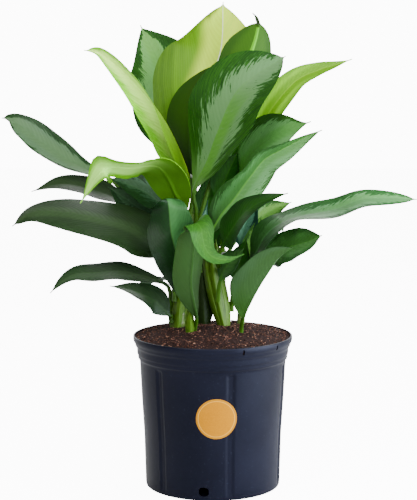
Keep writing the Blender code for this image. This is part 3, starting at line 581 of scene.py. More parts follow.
# %% [markdown]
# ## Curves for canes and stalks
#
# A cane and a leaf are both placed by a few points in millimetres, the same ones as in the
# construction model. A smooth curve runs through them, and a seat on a cane is worked out from the
# cane's own curve, so that a stalk always starts against it.

# %% Curve helpers


def catmull(points, steps):
    """A smooth curve through the points, with the given number of steps between neighbours."""
    route = np.array(points, float)
    route = np.vstack([2 * route[0] - route[1], route, 2 * route[-1] - route[-2]])
    curve = []
    for before, start, end, after in zip(route, route[1:], route[2:], route[3:]):
        pairs = ((before, start), (start, end), (end, after))
        knots = [max(np.linalg.norm(q - p) ** 0.5, 1e-6) for p, q in pairs]
        leave = end - start + knots[1] * ((start - before) / knots[0]
                                          - (end - before) / (knots[0] + knots[1]))
        arrive = end - start + knots[1] * ((after - end) / knots[2]
                                           - (after - start) / (knots[1] + knots[2]))
        t = np.linspace(0, 1, steps, endpoint=False)[:, None]
        curve.append((2 * t**3 - 3 * t**2 + 1) * start + (t**3 - 2 * t**2 + t) * leave
                     + (3 * t**2 - 2 * t**3) * end + (t**3 - t**2) * arrive)
    return np.vstack(curve + [route[-2:-1]])


def evenly(curve, steps):
    """Points at equal distances along a curve."""
    lengths = np.linalg.norm(np.diff(curve, axis=0), axis=1)
    along = np.concatenate([[0], np.cumsum(lengths)])
    wanted = np.linspace(0, along[-1], steps + 1)
    return np.stack([np.interp(wanted, along, curve[:, axis]) for axis in range(3)], axis=1)


def line_length(points):
    return np.linalg.norm(np.diff(points, axis=0), axis=1).sum()


def unit(vectors):
    return vectors / np.linalg.norm(vectors, axis=-1, keepdims=True)


def keyed(keys, fractions):
    """Values at fractions of the way through equally spaced keys."""
    keys = np.array(keys, float).reshape(len(keys), -1)
    places = np.linspace(0, 1, len(keys))
    return np.stack([np.interp(fractions, places, column) for column in keys.T], axis=1)


CANES = {
    "cane_left": ([(-56, 10, 225), (-50, 8, 330), (-38, 5, 415), (-32, 4, 440)], (11, 10, 9, 7.5)),
    "cane_right": ([(24, 18, 225), (15, 20, 310), (7, 20, 375), (4, 20, 392)], (9, 8, 6.5, 5.5)),
    "cane_back": ([(-12, 48, 225), (-9, 52, 300), (-6, 56, 350)], (7, 6.5, 5)),
    "cane_side": ([(44, 34, 225), (48, 38, 290), (50, 40, 325)], (7, 6.5, 5)),
}


def cane_line(name, steps):
    """Axis and radii of a cane, with the given number of steps between the points of its row."""
    points, radii = CANES[name]
    axis = catmull(points, steps)
    return axis, keyed(radii, np.linspace(0, 1, len(axis)))[:, 0]


def cane_at(name, height):
    """Centre and radius of a cane at a height."""
    axis, radii = cane_line(name, 2)
    centre = [np.interp(height, axis[:, 2], axis[:, side]) for side in (0, 1)]
    return np.array([*centre, height]), np.interp(height, axis[:, 2], radii)


print("canes:", ", ".join(CANES))

# %% [markdown]
# ## The leaves
#
# A leaf is a sheet that has been folded along its midrib, waved at its edges and bent along its length.
# The stalk flows into the midrib with no seam, so the whole leaf is one closed skin. It starts as a
# plain grid: one way runs from the stalk's foot to the tip, the other way round the leaf's section. The
# formula that shaped the construction model's leaf then places each point, with many more of them.

# %% The table of leaves
# Each row: seat (cane, height and side in degrees, or none for a leaf that rises from the soil), width,
# directions that the upper face looks to from neck to tip, route of the midrib, fold of the halves in
# degrees, place of the widest section, bluntness of the tip, finish and tone. The tone multiplies the
# leaf's colour: above 1 it is painted light that lifts a leaf lying in shade, below 1 it darkens the leaf.
# The neck is the number of the route's point where the blade starts.
PLAIN_ROW = dict(seat=None, neck=1, peak=0.42, blunt=1.2, tone=1.0)
LEAVES = {
    "leaf_crown_back": dict(seat=("cane_left", 428, 75), width=182,
        faces=[(0.15, -0.95, 0.2), (-0.3, -0.95, 0.2)],
        route=[(-32, 26, 453), (-34, 36, 496), (-37, 58, 557), (-16, 76, 623), (13, 82, 701),
        (17, 70, 779)], fold=(15, 15), peak=0.55, blunt=0.75, look="lime"),
    "leaf_crown_right": dict(seat=("cane_left", 430, 0), width=94,
        faces=[(0.05, 1, 0.1), (-0.15, 0.9, 0.35)],
        route=[(-8, 8, 479), (15, 10, 544), (35, 12, 610), (56, 18, 682), (69, 26, 722), (74, 31, 748)],
        fold=(25, 21), peak=0.64, blunt=0.52, look="dark_tip"),
    "leaf_crown_front": dict(seat=("cane_left", 405, -60), width=126,
        faces=[(-0.8, -0.55, 0.25), (-0.1, -1, 0.2)],
        route=[(-27, -18, 446), (-31, -26, 478), (-8, -38, 528), (9, -52, 575), (42, -66, 642),
        (112, -62, 692)], fold=(11, 22), peak=0.53, blunt=0.7, look="silver"),
    "leaf_crown_inner": dict(seat=("cane_left", 432, -110), width=104,
        faces=[(0.3, 0.95, 0), (0.25, 0.95, 0)],
        route=[(-33, -8, 461), (-28, -8, 498), (-35, -6, 545), (-34, -6, 600), (-9, -8, 650),
        (30, -8, 690)], fold=(26, 26), peak=0.41, blunt=1.25, look="dark_olive"),
    "leaf_upper_left": dict(seat=("cane_left", 408, 188), width=72,
        faces=[(-0.75, -0.5, 0.45), (-0.6, -0.65, 0.45)],
        route=[(-43, 0, 470), (-39, -6, 496), (-73, -16, 584), (-123, -28, 650), (-175, -32, 695),
        (-201, -32, 701)], fold=(68, 48), peak=0.25, blunt=0.6, look="pale"),
    "leaf_high_left": dict(seat=("cane_left", 395, 125), width=147,
        faces=[(0.45, -0.9, 0.15), (0.4, -0.9, -0.2)],
        route=[(-43, 40, 468), (-48, 58, 511), (-81, 96, 581), (-85, 124, 666), (-120, 128, 743)],
        fold=(19, 17), peak=0.55, blunt=0.95, look="silver_back"),
    "leaf_upper_right": dict(seat=("cane_right", 385, 60), width=58,
        faces=[(-0.5, -0.7, 0.5), (-0.2, -0.8, 0.55)],
        route=[(25, 40, 452), (40, 46, 490), (57, 52, 528), (71, 56, 560), (90, 62, 597), (115, 66, 631),
        (140, 66, 655), (171, 62, 669), (199, 56, 678), (225, 52, 687)], fold=(15, 15), blunt=1.0,
        look="lime_young"),
    "leaf_right_silver": dict(seat=("cane_right", 378, -20), width=100,
        faces=[(-0.3, -0.8, 0.55), (-0.25, -0.8, 0.55)],
        route=[(22, 6, 440), (33, 2, 478), (60, -24, 538), (101, -60, 572), (149, -98, 593)],
        fold=(-5, -1), peak=0.5, blunt=1.45, look="silver_deep", tone=1.7),
    "leaf_right_folded": dict(seat=("cane_right", 350, -110), width=66,
        faces=[(-0.46, -0.8, 0.45), (0.3, -0.85, 0), (0.46, -0.8, -0.3)],
        route=[(-14, -26, 380), (-3, -28, 411), (14, -38, 444), (30, -48, 465), (47, -60, 490),
        (62, -72, 512), (80, -84, 535), (110, -98, 553), (140, -108, 570), (165, -116, 581)],
        fold=(30, 36), peak=0.32, blunt=0.8, look="pale_folded"),
    "leaf_front_right": dict(seat=("cane_right", 328, -70), width=58,
        faces=[(-0.1, -0.8, 0.55), (0.05, -0.6, 0.8)],
        route=[(7, -50, 375), (15, -74, 399), (30, -104, 430), (51, -132, 460), (77, -148, 477),
        (112, -158, 489)], fold=(8, 12), peak=0.24, blunt=1.0, look="dark"),
    "leaf_far_right": dict(seat=("cane_side", 305, -90), neck=0, width=62,
        faces=[(-0.3, -0.6, 0.75), (-0.25, -0.25, 0.93), (-0.1, -0.55, 0.8), (0, -0.8, 0.6)],
        route=[(58, -12, 356), (70, -24, 383), (84, -28, 410), (107, -22, 428), (150, -6, 440),
        (196, -2, 449), (238, -6, 465), (279, -6, 467), (326, -4, 465)], fold=(16, 2), peak=0.25,
        blunt=0.6, look="silver_end"),
    "leaf_low_right": dict(seat=("cane_side", 290, -20), width=66,
        faces=[(0.4, -0.8, 0.45), (0.4, -0.7, 0.6)],
        route=[(66, 6, 332), (77, -2, 355), (91, -15, 373), (110, -32, 387), (131, -50, 397),
        (150, -64, 405), (169, -78, 416)], fold=(7, 7), peak=0.56, blunt=0.85, look="dark_low", tone=1.8),
    "leaf_front_right_low": dict(neck=2, width=85, faces=[(-0.75, 0.7, 0.1), (-0.45, 0.8, 0.4)],
        route=[(46, -38, 240), (45, -39, 261), (47, -54, 280), (60, -76, 314), (80, -98, 354),
        (100, -114, 386), (122, -124, 404)], fold=(38, 43), blunt=0.9, look="dark_ribbed"),
    "leaf_front_curled": dict(neck=2, width=58,
        faces=[(-0.5, 0.85, 0.1), (-0.55, 0.8, 0.2), (-0.5, 0.75, 0.4), (-0.3, 0.3, 0.9),
        (0.1, -0.8, 0.55), (0.1, -0.9, 0.3), (0, -0.7, 0.7)],
        route=[(-31, -28, 240), (-29, -31, 258), (-26, -48, 280), (-29, -66, 303), (-34, -80, 340),
        (-31, -96, 382), (-29, -110, 415), (-26, -122, 440), (-18, -136, 433), (-15, -142, 415),
        (-9, -147, 400), (3, -150, 390), (23, -150, 388), (47, -150, 396)], fold=(32, 25, 10, 5),
        peak=0.3, blunt=0.95, look="green"),
    "leaf_front_left": dict(neck=2, width=78,
        faces=[(0.25, -0.85, 0.5), (0.15, -0.75, 0.62), (-0.1, -0.4, 0.9), (-0.15, 0.3, 0.95)],
        route=[(-39, -38, 240), (-38, -39, 261), (-36, -48, 295), (-43, -55, 325), (-50, -62, 362),
        (-64, -76, 416), (-72, -78, 473), (-90, -60, 452)], fold=(-16, -10), peak=0.54, blunt=0.85,
        look="dark_blue"),
    "leaf_long_left": dict(seat=("cane_left", 300, -135), width=100,
        faces=[(-0.6, -0.35, 0.7), (-0.15, -0.6, 0.8)],
        route=[(-66, -18, 346), (-72, -24, 371), (-120, -36, 418), (-178, -44, 438), (-240, -50, 450),
        (-286, -54, 448), (-314, -56, 428)], fold=(2, -9), peak=0.3, blunt=0.7, look="grey", tone=0.85),
    "leaf_far_left": dict(seat=("cane_left", 362, 130), width=56,
        faces=[(-0.1, -0.55, 0.8), (-0.4, -0.6, 0.7)],
        route=[(-119, 56, 434), (-165, 58, 491), (-200, 58, 506), (-232, 54, 522), (-272, 50, 550),
        (-304, 44, 575), (-327, 40, 591), (-340, 36, 593)], fold=(12, 12), peak=0.6, blunt=0.55,
        look="grey_silver"),
    "leaf_left_arching": dict(seat=("cane_left", 385, -125), width=85,
        faces=[(0.1, 0.95, 0.3), (0.7, 0.6, 0.45), (0.7, 0.55, 0.4)],
        route=[(-36, -36, 413), (-43, -44, 442), (-57, -60, 477), (-83, -82, 522), (-124, -108, 523),
        (-164, -128, 522), (-199, -150, 473)], fold=(-3, -7), peak=0.39, blunt=1, look="lime_arch"),
    "leaf_mid_left": dict(seat=("cane_left", 330, 175), width=57,
        faces=[(0, -0.4, 0.9), (0.05, -0.55, 0.85)],
        route=[(-85, 14, 398), (-126, 26, 447), (-196, 36, 477), (-247, 34, 486), (-293, 28, 475)],
        fold=(12, 12), peak=0.43, blunt=1.15, look="grey", tone=0.68),
    "leaf_inner_left": dict(seat=("cane_left", 350, -160), width=58,
        faces=[(0.15, -0.85, 0.5), (0, -0.7, 0.7)],
        route=[(-59, -8, 420), (-71, -6, 445), (-108, -8, 477), (-166, -12, 500)], fold=(18, 18),
        look="silver_mottled"),
    "leaf_low_left": dict(seat=("cane_left", 272, 170), neck=0, width=46,
        faces=[(-0.3, -0.5, 0.8), (-0.3, -0.6, 0.7)],
        route=[(-72, 0, 324), (-86, -2, 333), (-110, -4, 341), (-149, -10, 350), (-188, -20, 349),
        (-219, -28, 348), (-239, -34, 338), (-258, -38, 319)], fold=(4, 3), peak=0.5, blunt=0.9,
        look="dark_low_left"),
    "leaf_lowest_left": dict(seat=("cane_left", 264, -150), neck=0, width=50,
        faces=[(-0.25, -0.75, 0.65), (-0.05, -0.4, 0.9)],
        route=[(-69, -14, 279), (-93, -26, 305), (-127, -40, 323), (-162, -54, 333)], fold=(10, 10),
        peak=0.37, blunt=1.1, look="dark_low_left", tone=0.75),
    "leaf_inner_shaded": dict(seat=("cane_right", 388, -150), width=50, faces=[(-0.2, -0.95, 0.3)],
        route=[(-1, 1, 440), (6, 1, 464), (21, -3, 499), (41, -5, 543)], fold=(16, 16), look="dark",
        tone=1.5),
    "leaf_inner_low": dict(seat=("cane_right", 280, -10), width=44, faces=[(-0.2, -0.9, 0.35)],
        route=[(32, 8, 305), (38, 2, 329), (44, -12, 367), (54, -22, 405)], fold=(16, 16), look="dark"),
    "leaf_inner_right": dict(seat=("cane_side", 310, -150), width=48, faces=[(-0.2, -0.9, 0.35)],
        route=[(40, 20, 363), (44, 24, 383), (54, 20, 423), (74, 12, 467)], fold=(18, 18),
        look="silver_teal"),
    "leaf_small_right": dict(seat=("cane_side", 318, 140), width=44, faces=[(-0.15, -0.85, 0.5)],
        route=[(50, 52, 384), (60, 60, 404), (92, 68, 436), (130, 68, 454)], fold=(20, 20),
        look="lime_small"),
    "leaf_rear_centre_high": dict(seat=("cane_left", 400, 80), width=110,
        faces=[(0, -0.9, 0.45), (0, -0.45, 0.9)],
        route=[(-30, 40, 450), (-28, 60, 485), (-30, 110, 555), (-40, 165, 600), (-52, 215, 600)],
        fold=(20, 20), look="silver"),
    "leaf_rear_right_high": dict(seat=("cane_right", 372, 130), width=105,
        faces=[(-0.25, -0.85, 0.45), (-0.15, -0.5, 0.85)],
        route=[(14, 52, 430), (34, 72, 470), (62, 114, 540), (92, 162, 585), (118, 205, 590)],
        fold=(20, 20), look="silver"),
    "leaf_rear_left_high": dict(seat=("cane_left", 366, 100), width=92,
        faces=[(0.25, -0.85, 0.5), (0.1, -0.3, 0.95)],
        route=[(-66, 60, 420), (-78, 82, 445), (-100, 132, 486), (-118, 182, 494), (-130, 226, 474)],
        fold=(20, 20), look="silver"),
    "leaf_rear_centre": dict(seat=("cane_back", 340, 90), width=90, faces=[(0, -0.5, 0.85), (0, 0, 1)],
        route=[(-4, 90, 385), (0, 112, 410), (8, 165, 440), (16, 215, 435), (20, 258, 405)],
        fold=(18, 18), look="dark"),
    "leaf_rear_left": dict(seat=("cane_back", 320, 170), width=80, faces=[(0.25, -0.35, 0.9), (0, 0, 1)],
        route=[(-48, 80, 364), (-70, 102, 384), (-108, 138, 408), (-140, 166, 408), (-166, 190, 390)],
        fold=(18, 18), look="silver"),
    "leaf_rear_right": dict(seat=("cane_back", 325, 30), width=88, faces=[(-0.25, -0.35, 0.9), (0, 0, 1)],
        route=[(22, 84, 362), (38, 106, 385), (72, 150, 412), (104, 190, 410), (126, 222, 385)],
        fold=(18, 18), look="silver"),
    "leaf_rear_left_low": dict(seat=("cane_back", 285, 140), width=66, faces=[(0, 0, 1)],
        route=[(-38, 82, 306), (-54, 100, 314), (-80, 134, 316), (-106, 166, 304), (-126, 190, 282)],
        fold=(18, 18), look="dark"),
    "leaf_rear_right_low": dict(seat=("cane_back", 290, 60), width=76, faces=[(0, 0, 1)],
        route=[(10, 92, 322), (22, 116, 338), (42, 156, 350), (58, 194, 340), (66, 226, 314)],
        fold=(18, 18), look="dark"),
}
print("leaves in the table:", len(LEAVES))

# %% Measures, seat and outline of a leaf
STALK = 3.2               # radius of a stalk where it meets the blade, in mm
FOOT_SWELL = 1.3          # how much thicker its foot is
FOOT_RISE = 12            # height over which the foot follows the cane
FOOT_FLAT = 0.98          # half width of a stalk's section, as a share of its radius
TOP_RIDGE = 0.6           # height of a stalk's upper side, as a share of its radius
SKIN = 0.8                # thickness of a blade
GAP = 0.3                 # clearance between a stalk and its cane
BLADE_START = 0.12        # share of the blade over which the stalk's ridge melts into it
TIP_RIB = 0.2             # the midrib's radius at the tip, as a share of the stalk's
RIB_LEFT = 0.75           # how much of the ridge is left on the underside of a blade
WAVE, WAVE_TURNS = 0.035, 2.5
OTHER_HALF = 0.35         # how far the right half's wave is ahead, in turns
FOLD_POWER = 1.35         # above 1 the fold is a hollow, not a crease
CROWDING = 1.6            # above 1 the points crowd at the midrib
RIB_LEAN = 0.6            # how far a side rib runs forward for each step sideways, at the midrib
RIB_SWEEP = 1.5           # and how much more of it at the margin
TAIL = 0.98               # where the blade ends and its thread-like tip starts
CURVE_STEPS = 32
STALK_STEPS = 14
BLADE_STEPS = 84
HALF_STEPS = 13           # points from the midrib to an edge


def seat_points(seat, face):
    """Two points beside a cane: where a stalk starts and where it starts to leave the cane."""
    name, height, side = seat
    outward = np.array([math.cos(math.radians(side)), math.sin(math.radians(side)), 0])
    low, radius = cane_at(name, height)
    high, _ = cane_at(name, height + FOOT_RISE)
    tangent = unit(high - low + outward * 4 * GAP)
    normal = unit(face - np.dot(face, tangent) * tangent)
    sideways = np.cross(tangent, normal)
    rib = STALK * FOOT_SWELL
    across = np.linspace(-1, 1, 5)[:, None] * FOOT_FLAT
    ridge = rib * np.sqrt(1 - across**2)
    corners = np.vstack([across * rib * sideways + (SKIN / 2 + ridge * TOP_RIDGE) * normal,
                         across * rib * sideways - (SKIN / 2 + ridge) * normal])
    clear = radius + np.max(corners @ -outward) + GAP
    return [low + outward * clear, high + outward * (clear + 4 * GAP)]


def half_width(along, peak, blunt):
    """Half width of a blade, as a share of its greatest: wedge-shaped base, drawn-out tip."""
    base = np.sin(np.pi / 2 * np.clip(along / peak, 0, 1))
    tip = np.cos(np.pi / 2 * np.clip((along - peak) / (TAIL - peak), 0, 1)) ** blunt
    return np.where(along < peak, base, tip)


print("half width halfway up a leaf:", half_width(np.array(0.5), 0.42, 1.2).round(3))

# %% [markdown]
# ## From a row to a skin
#
# The section of a stalk is a rounded bar, and that of a blade is a thin sheet with a folded and waved
# shape. The stalk's section melts into the blade's at its base. Both UV maps come from the same numbers.

# %% The skin of one leaf


def leaf_skin(row):
    """Upper and lower points of the leaf in mm, and the two UV maps' values for them."""
    neck, points = row["neck"], row["route"]
    if row["seat"]:
        points = seat_points(row["seat"], np.array(row["faces"][0], float)) + points
        neck += 2
    curve = catmull(points, CURVE_STEPS)
    stalk = evenly(curve[:neck * CURVE_STEPS + 1], STALK_STEPS)
    spine = np.vstack([stalk[:-1], evenly(curve[neck * CURVE_STEPS:], BLADE_STEPS)])
    along = np.concatenate([np.zeros(STALK_STEPS), np.linspace(0, 1, BLADE_STEPS + 1)])
    up_stalk = np.concatenate([np.arange(STALK_STEPS) / STALK_STEPS, np.ones(BLADE_STEPS + 1)])
    tangent = unit(np.gradient(spine, axis=0))
    face = unit(keyed(row["faces"], along))
    normal = unit(face - np.sum(face * tangent, axis=1, keepdims=True) * tangent)
    sideways = np.cross(tangent, normal)

    rib = np.where(up_stalk < 1, STALK * (FOOT_SWELL - (FOOT_SWELL - 1) * up_stalk),
                   STALK * (1 - (1 - TIP_RIB) * along))[:, None]
    half = row["width"] / 2 * half_width(along, row["peak"], row["blunt"])
    half = np.maximum(half, rib[:, 0] * FOOT_FLAT)[:, None]
    blade = np.clip(along / BLADE_START, 0, 1)[:, None]
    fold = np.radians(keyed(row["fold"], along))
    steps = np.linspace(0, 1, HALF_STEPS)
    on_blade = np.concatenate([-(steps[::-1] ** CROWDING), steps[1:] ** CROWDING])[None, :]
    on_stalk = np.sin(np.linspace(-np.pi / 2, np.pi / 2, 2 * HALF_STEPS - 1))[None, :]
    across = on_stalk + (on_blade - on_stalk) * blade
    reach = half * across * np.cos(fold)
    lift = half * np.abs(across) ** FOLD_POWER * np.sin(fold) * blade
    phase = 2 * np.pi * (WAVE_TURNS * along[:, None] + np.where(across > 0, OTHER_HALF, 0.0))
    lift = lift + WAVE * half * across**2 * np.sin(phase) * blade
    ridge = rib * np.sqrt(np.clip(1 - (half * across / rib) ** 2, 0, 1))
    above = lift + SKIN / 2 + ridge * TOP_RIDGE * (1 - blade)
    below = lift - SKIN / 2 - ridge * (1 - (1 - RIB_LEFT) * blade)
    flat = spine[:, None] + sideways[:, None] * reach[..., None]
    upper = flat + normal[:, None] * above[..., None]
    lower = flat + normal[:, None] * below[..., None]

    length = line_length(spine[STALK_STEPS:])
    up = np.where(up_stalk < 1, up_stalk - 1, along)[:, None] + 0 * across
    blade_uv = np.stack([0.5 + across / 2, up], axis=-1)
    start = along[:, None] * length - np.abs(half * across) * (RIB_LEAN + RIB_SWEEP * np.abs(across))
    ribs_uv = np.stack([half * across / 100, start / 100], axis=-1)
    return upper, lower, blade_uv, ribs_uv


upper = leaf_skin({**PLAIN_ROW, **LEAVES["leaf_crown_front"]})[0]
print("points on one side of a leaf:", upper.shape[0] * upper.shape[1])

# %% Model a leaf from a grid


def make_leaf(name, row):
    """A grid rolled into the leaf's closed skin, with its UV maps and its two finishes."""
    row = {**PLAIN_ROW, **row}
    upper, lower, blade_uv, ribs_uv = leaf_skin(row)
    rows, wide = upper.shape[:2]
    around = 2 * wide
    deselect()
    bpy.ops.mesh.primitive_grid_add(x_subdivisions=around, y_subdivisions=rows - 1, size=1)
    leaf = named(name)
    mesh = leaf.data

    def ring(top, bottom):
        return np.concatenate([top, bottom[:, ::-1], top[:, :1]], axis=1).reshape(-1, top.shape[-1])

    mesh.vertices.foreach_set("co", (ring(upper, lower) * MM).ravel())
    corner_vertex = np.empty(len(mesh.loops), int)
    mesh.loops.foreach_get("vertex_index", corner_vertex)
    for layer_name, values in (("blade", blade_uv), ("ribs", ribs_uv)):
        layer = mesh.uv_layers.new(name=layer_name)
        layer.data.foreach_set("uv", ring(values, values)[corner_vertex].ravel())
    mesh.uv_layers.remove(mesh.uv_layers[0])
    column = np.arange(len(mesh.polygons)) % around
    under = (column >= wide) & (column < around - 1)
    for material in leaf_materials[row["look"]]:
        mesh.materials.append(material)
    mesh.polygons.foreach_set("material_index", under.astype(int))
    # The tone is painted light where it is above 1: it lifts a leaf that lies in shade.
    store_levels(mesh, "tone", np.full(len(mesh.vertices), row["tone"]))
    close_and_turn_outward(leaf)
    shade(leaf)
    return leaf


faces = 0
for node, row in LEAVES.items():
    leaf = make_leaf(node + "_leaf", row)
    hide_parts(node)
    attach(leaf, "root")
    "leaf_" + row["look"].split("_")[0]
    faces += len(leaf.data.polygons)
print("leaves made:", len(LEAVES), "with", faces, "faces")

# %% [markdown]
# ## Sheaths and young leaves in the middle
#
# Each stalk ends in a broad green sheath that wraps the cane, a few young leaves stand in the heart of
# the plant, and one leaf ends in a curled thread. The construction model leaves them out. They are made
# with the same leaf function: a sheath is a short leaf folded back round its cane.

# %% Sheaths and inner leaves
SHEATH = dict(width=24, fold=(-40, -40), peak=0.3, blunt=0.6, look="sheath", slot="cane")
YOUNG = dict(peak=0.5, blunt=0.9)
# A tone above 1 is painted light: it lifts a young leaf that lies in the shade of the others.
SHEATHS = {
    "sheath_left": dict(SHEATH, width=44, faces=[(0, -1, 0.05)], fold=(-46, -46), peak=0.2, blunt=0.8,
        route=[(-57, -3, 230), (-57, -3, 240), (-53, -4, 290), (-47, -7, 330), (-42, -8, 356)]),
    "sheath_right_low": dict(SHEATH, faces=[(-0.2, -1, 0.1)],
        route=[(18, 6, 230), (18, 6, 240), (1, 3, 300), (-9, 0, 346), (-14, -4, 395)]),
    "sheath_right_mid": dict(SHEATH, width=26, faces=[(-0.1, -1, 0.1)],
        route=[(22, 2, 230), (22, 2, 240), (9, -1, 300), (1, -4, 346), (-3, -6, 404)]),
    "sheath_right_high": dict(SHEATH, faces=[(0.2, -1, 0.1)],
        route=[(26, 7, 230), (26, 7, 240), (19, 5, 300), (11, 3, 346), (5, 2, 400)]),
    "sheath_middle": dict(SHEATH, width=38, faces=[(0, -1, 0.1)], fold=(-35, -35), blunt=0.7,
        look="sheath_shaded",
        route=[(-13, 14, 230), (-13, 14, 240), (-15, 12, 300), (-18, 10, 350), (-20, 8, 392)]),
    "sheath_front": dict(SHEATH, width=20, faces=[(0.2, -1, 0.1)], blunt=0.7,
        route=[(-35, -40, 230), (-35, -40, 240), (-35, -52, 286), (-34, -64, 310)]),
    "young_spear": dict(width=20, faces=[(-0.4, -0.9, 0.2)], fold=(34, 34), peak=0.45, blunt=1.1,
        look="silver_teal", slot="leaf_silver",
        route=[(-20, -22, 350), (-20, -23, 372), (-17, -26, 400), (-12, -28, 432), (-8, -28, 466)]),
    "young_back": dict(YOUNG, width=58, faces=[(-0.1, -1, 0.1)], fold=(16, 16), look="dark", tone=1.6,
        slot="leaf_dark",
        route=[(-16, 26, 300), (-15, 25, 330), (-12, 22, 390), (-8, 22, 450), (4, 26, 520)]),
    "young_left": dict(YOUNG, width=66, faces=[(0.1, -1, 0.3)], fold=(10, 10), look="silver_mottled",
        slot="leaf_silver",
        route=[(-44, 16, 360), (-52, 16, 385), (-82, 16, 415), (-120, 14, 450), (-168, 10, 484)]),
    "curl_right": dict(width=6, faces=[(-0.2, -1, 0.1)], fold=(20, 20), peak=0.3, look="sheath_shaded",
        slot="leaf_dark",
        route=[(73, 30, 738), (73, 29, 742), (71, 28, 749), (68, 26, 755), (63, 25, 760)]),
    "young_front": dict(YOUNG, width=36, faces=[(-0.3, -0.9, 0.4)], fold=(12, 12), look="dark_low",
        tone=1.5, slot="leaf_dark",
        route=[(8, -8, 300), (12, -18, 336), (22, -36, 362), (36, -46, 378), (48, -54, 392)]),
    "young_right": dict(YOUNG, width=34, faces=[(-0.3, -1, 0.2)], fold=(14, 14), look="lime_small",
        slot="leaf_silver",
        route=[(42, 22, 300), (46, 20, 330), (56, 16, 362), (67, 12, 400), (78, 8, 438)]),
}
for name, row in SHEATHS.items():
    sheath = make_leaf(name, row)
    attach(sheath, "root")
print("sheaths and young leaves:", ", ".join(SHEATHS))

# %% [markdown]
# ## The pot
#
# A nursery pot is blow moulded from dark plastic. It is turned, so a profile spun round the axis makes
# it: a rounded lip, steps under it, a plain wall that narrows downwards, and a foot. Six shallow flutes
# stiffen the wall, four holes at the foot drain it, and two slits in the lip's band take a hanger.

# %% Pot profile and its spun shell
POT_WALL = 2.6
POT_FLOOR = 6
POT_STEPS = 384
POT_OUTER = [(126.9, 246), (127.8, 245.7), (128.3, 245), (128.5, 243.8), (128.5, 240.5), (128.3, 238.4),
             (127.4, 236.2), (126.3, 234.2), (125.5, 232.6), (125.2, 231), (124.8, 229.6), (123.6, 227.9),
             (122.8, 226.4), (122.4, 224), (122.3, 218), (121.9, 216.4), (121.1, 215.2), (120.8, 213.8),
             (120.8, 210.6), (120.4, 209.3), (119, 207.9), (118.3, 206.6), (118, 204.4)]
POT_LOW = [(109.2, 5), (108.9, 2.6), (108.5, 0.9), (107.6, 0), (102, 0), (100, 3), (63, 3), (60, 0), (0, 0)]
WALL = [(4, 109.2), (84, 111.3), (150, 115.3), (197, 117.5), (204, 117.95)]


def wall_radius(height):
    """Radius of the plain wall, below the lip."""
    return np.interp(height, [z for z, _ in WALL], [radius for _, radius in WALL])


def spin_profile(name, profile):
    """A solid turned from (radius, height) points: a line of vertices and a Screw modifier."""
    deselect()
    bpy.ops.mesh.primitive_plane_add(size=1)
    piece = named(name)
    with editing(piece):
        bpy.ops.mesh.merge(type="CENTER")
    piece.data.vertices[0].co = (profile[0][0] * MM, 0, profile[0][1] * MM)
    for radius, height in profile[1:]:
        bpy.ops.object.mode_set(mode="EDIT")
        bpy.ops.mesh.extrude_region_move()
        bpy.ops.object.mode_set(mode="OBJECT")
        last = [vertex for vertex in piece.data.vertices if vertex.select][0]
        last.co = (radius * MM, 0, height * MM)
    modify(piece, "SCREW", steps=POT_STEPS, render_steps=POT_STEPS, use_merge_vertices=True,
           merge_threshold=MERGE)
    close_and_turn_outward(piece)
    return piece


def wall_points(heights, inset=0.0):
    return [(float(wall_radius(height)) - inset, height) for height in heights]


profile = [(0, POT_FLOOR)] + wall_points((POT_FLOOR, 40, 84, 120, 150, 203), POT_WALL)
profile += [(115.7, 207), (117.9, 210), (118.2, 214), (119.6, 217), (120.1, 226), (122.6, 231),
            (125.4, 237), (125.8, 241), (125.8, 245.4), (126.2, 245.9)]
profile += POT_OUTER + wall_points([203, 201.5, 200, 198.5, 197, 193, *range(186, 6, -8)]) + POT_LOW
pot = spin_profile("pot_shell", profile)
print("pot faces:", len(pot.data.polygons))

# %% Press the flutes and cut the drain holes
FLUTE_COUNT, FLUTE_FIRST = 6, -76      # the first one's angle, in degrees from +X
FLUTE_DEPTH, FLUTE_HALF = 1.9, 6.5     # depth and half width in mm
FLUTE_LOW, FLUTE_TOP = 4, 204
FLUTE_SIDE = 1.9                       # width of a flute's sloping side
LOW_END, TOP_END = 8, 4                # lengths over which its ends run out
DRAIN_COUNT, DRAIN_FIRST = 4, -97.5
DRAIN_RADIUS, DRAIN_WIDTH = 109, 16
DRAIN_FOOT, DRAIN_HEIGHT = 7.5, 22
SLIT_ANGLES, SLIT_RADIUS = (-68, -38), 136
CUTTER_DEPTH = 24


def press_flutes(piece):
    """Push the outer skin in along six bands with soft sides."""
    mesh = piece.data
    place = np.empty(len(mesh.vertices) * 3)
    mesh.vertices.foreach_get("co", place)
    place = place.reshape(-1, 3) / MM
    radius = np.hypot(place[:, 0], place[:, 1])
    height = place[:, 2]
    outer = (radius > wall_radius(height) - POT_WALL / 2) & (height < FLUTE_TOP) & (height > FLUTE_LOW)
    turn = 2 * math.pi / FLUTE_COUNT
    angle = np.arctan2(place[:, 1], place[:, 0]) - math.radians(FLUTE_FIRST)
    off = np.abs((angle + turn / 2) % turn - turn / 2) * radius
    side = np.clip((FLUTE_HALF - off) / FLUTE_SIDE, 0, 1)
    end = np.clip((FLUTE_TOP - height) / TOP_END, 0, 1) * np.clip((height - FLUTE_LOW) / LOW_END, 0, 1)
    depth = FLUTE_DEPTH * side * end * outer
    scale = np.where(radius > 1, (radius - depth) / np.maximum(radius, 1), 1)
    place[:, :2] *= scale[:, None]
    mesh.vertices.foreach_set("co", (place * MM).ravel())


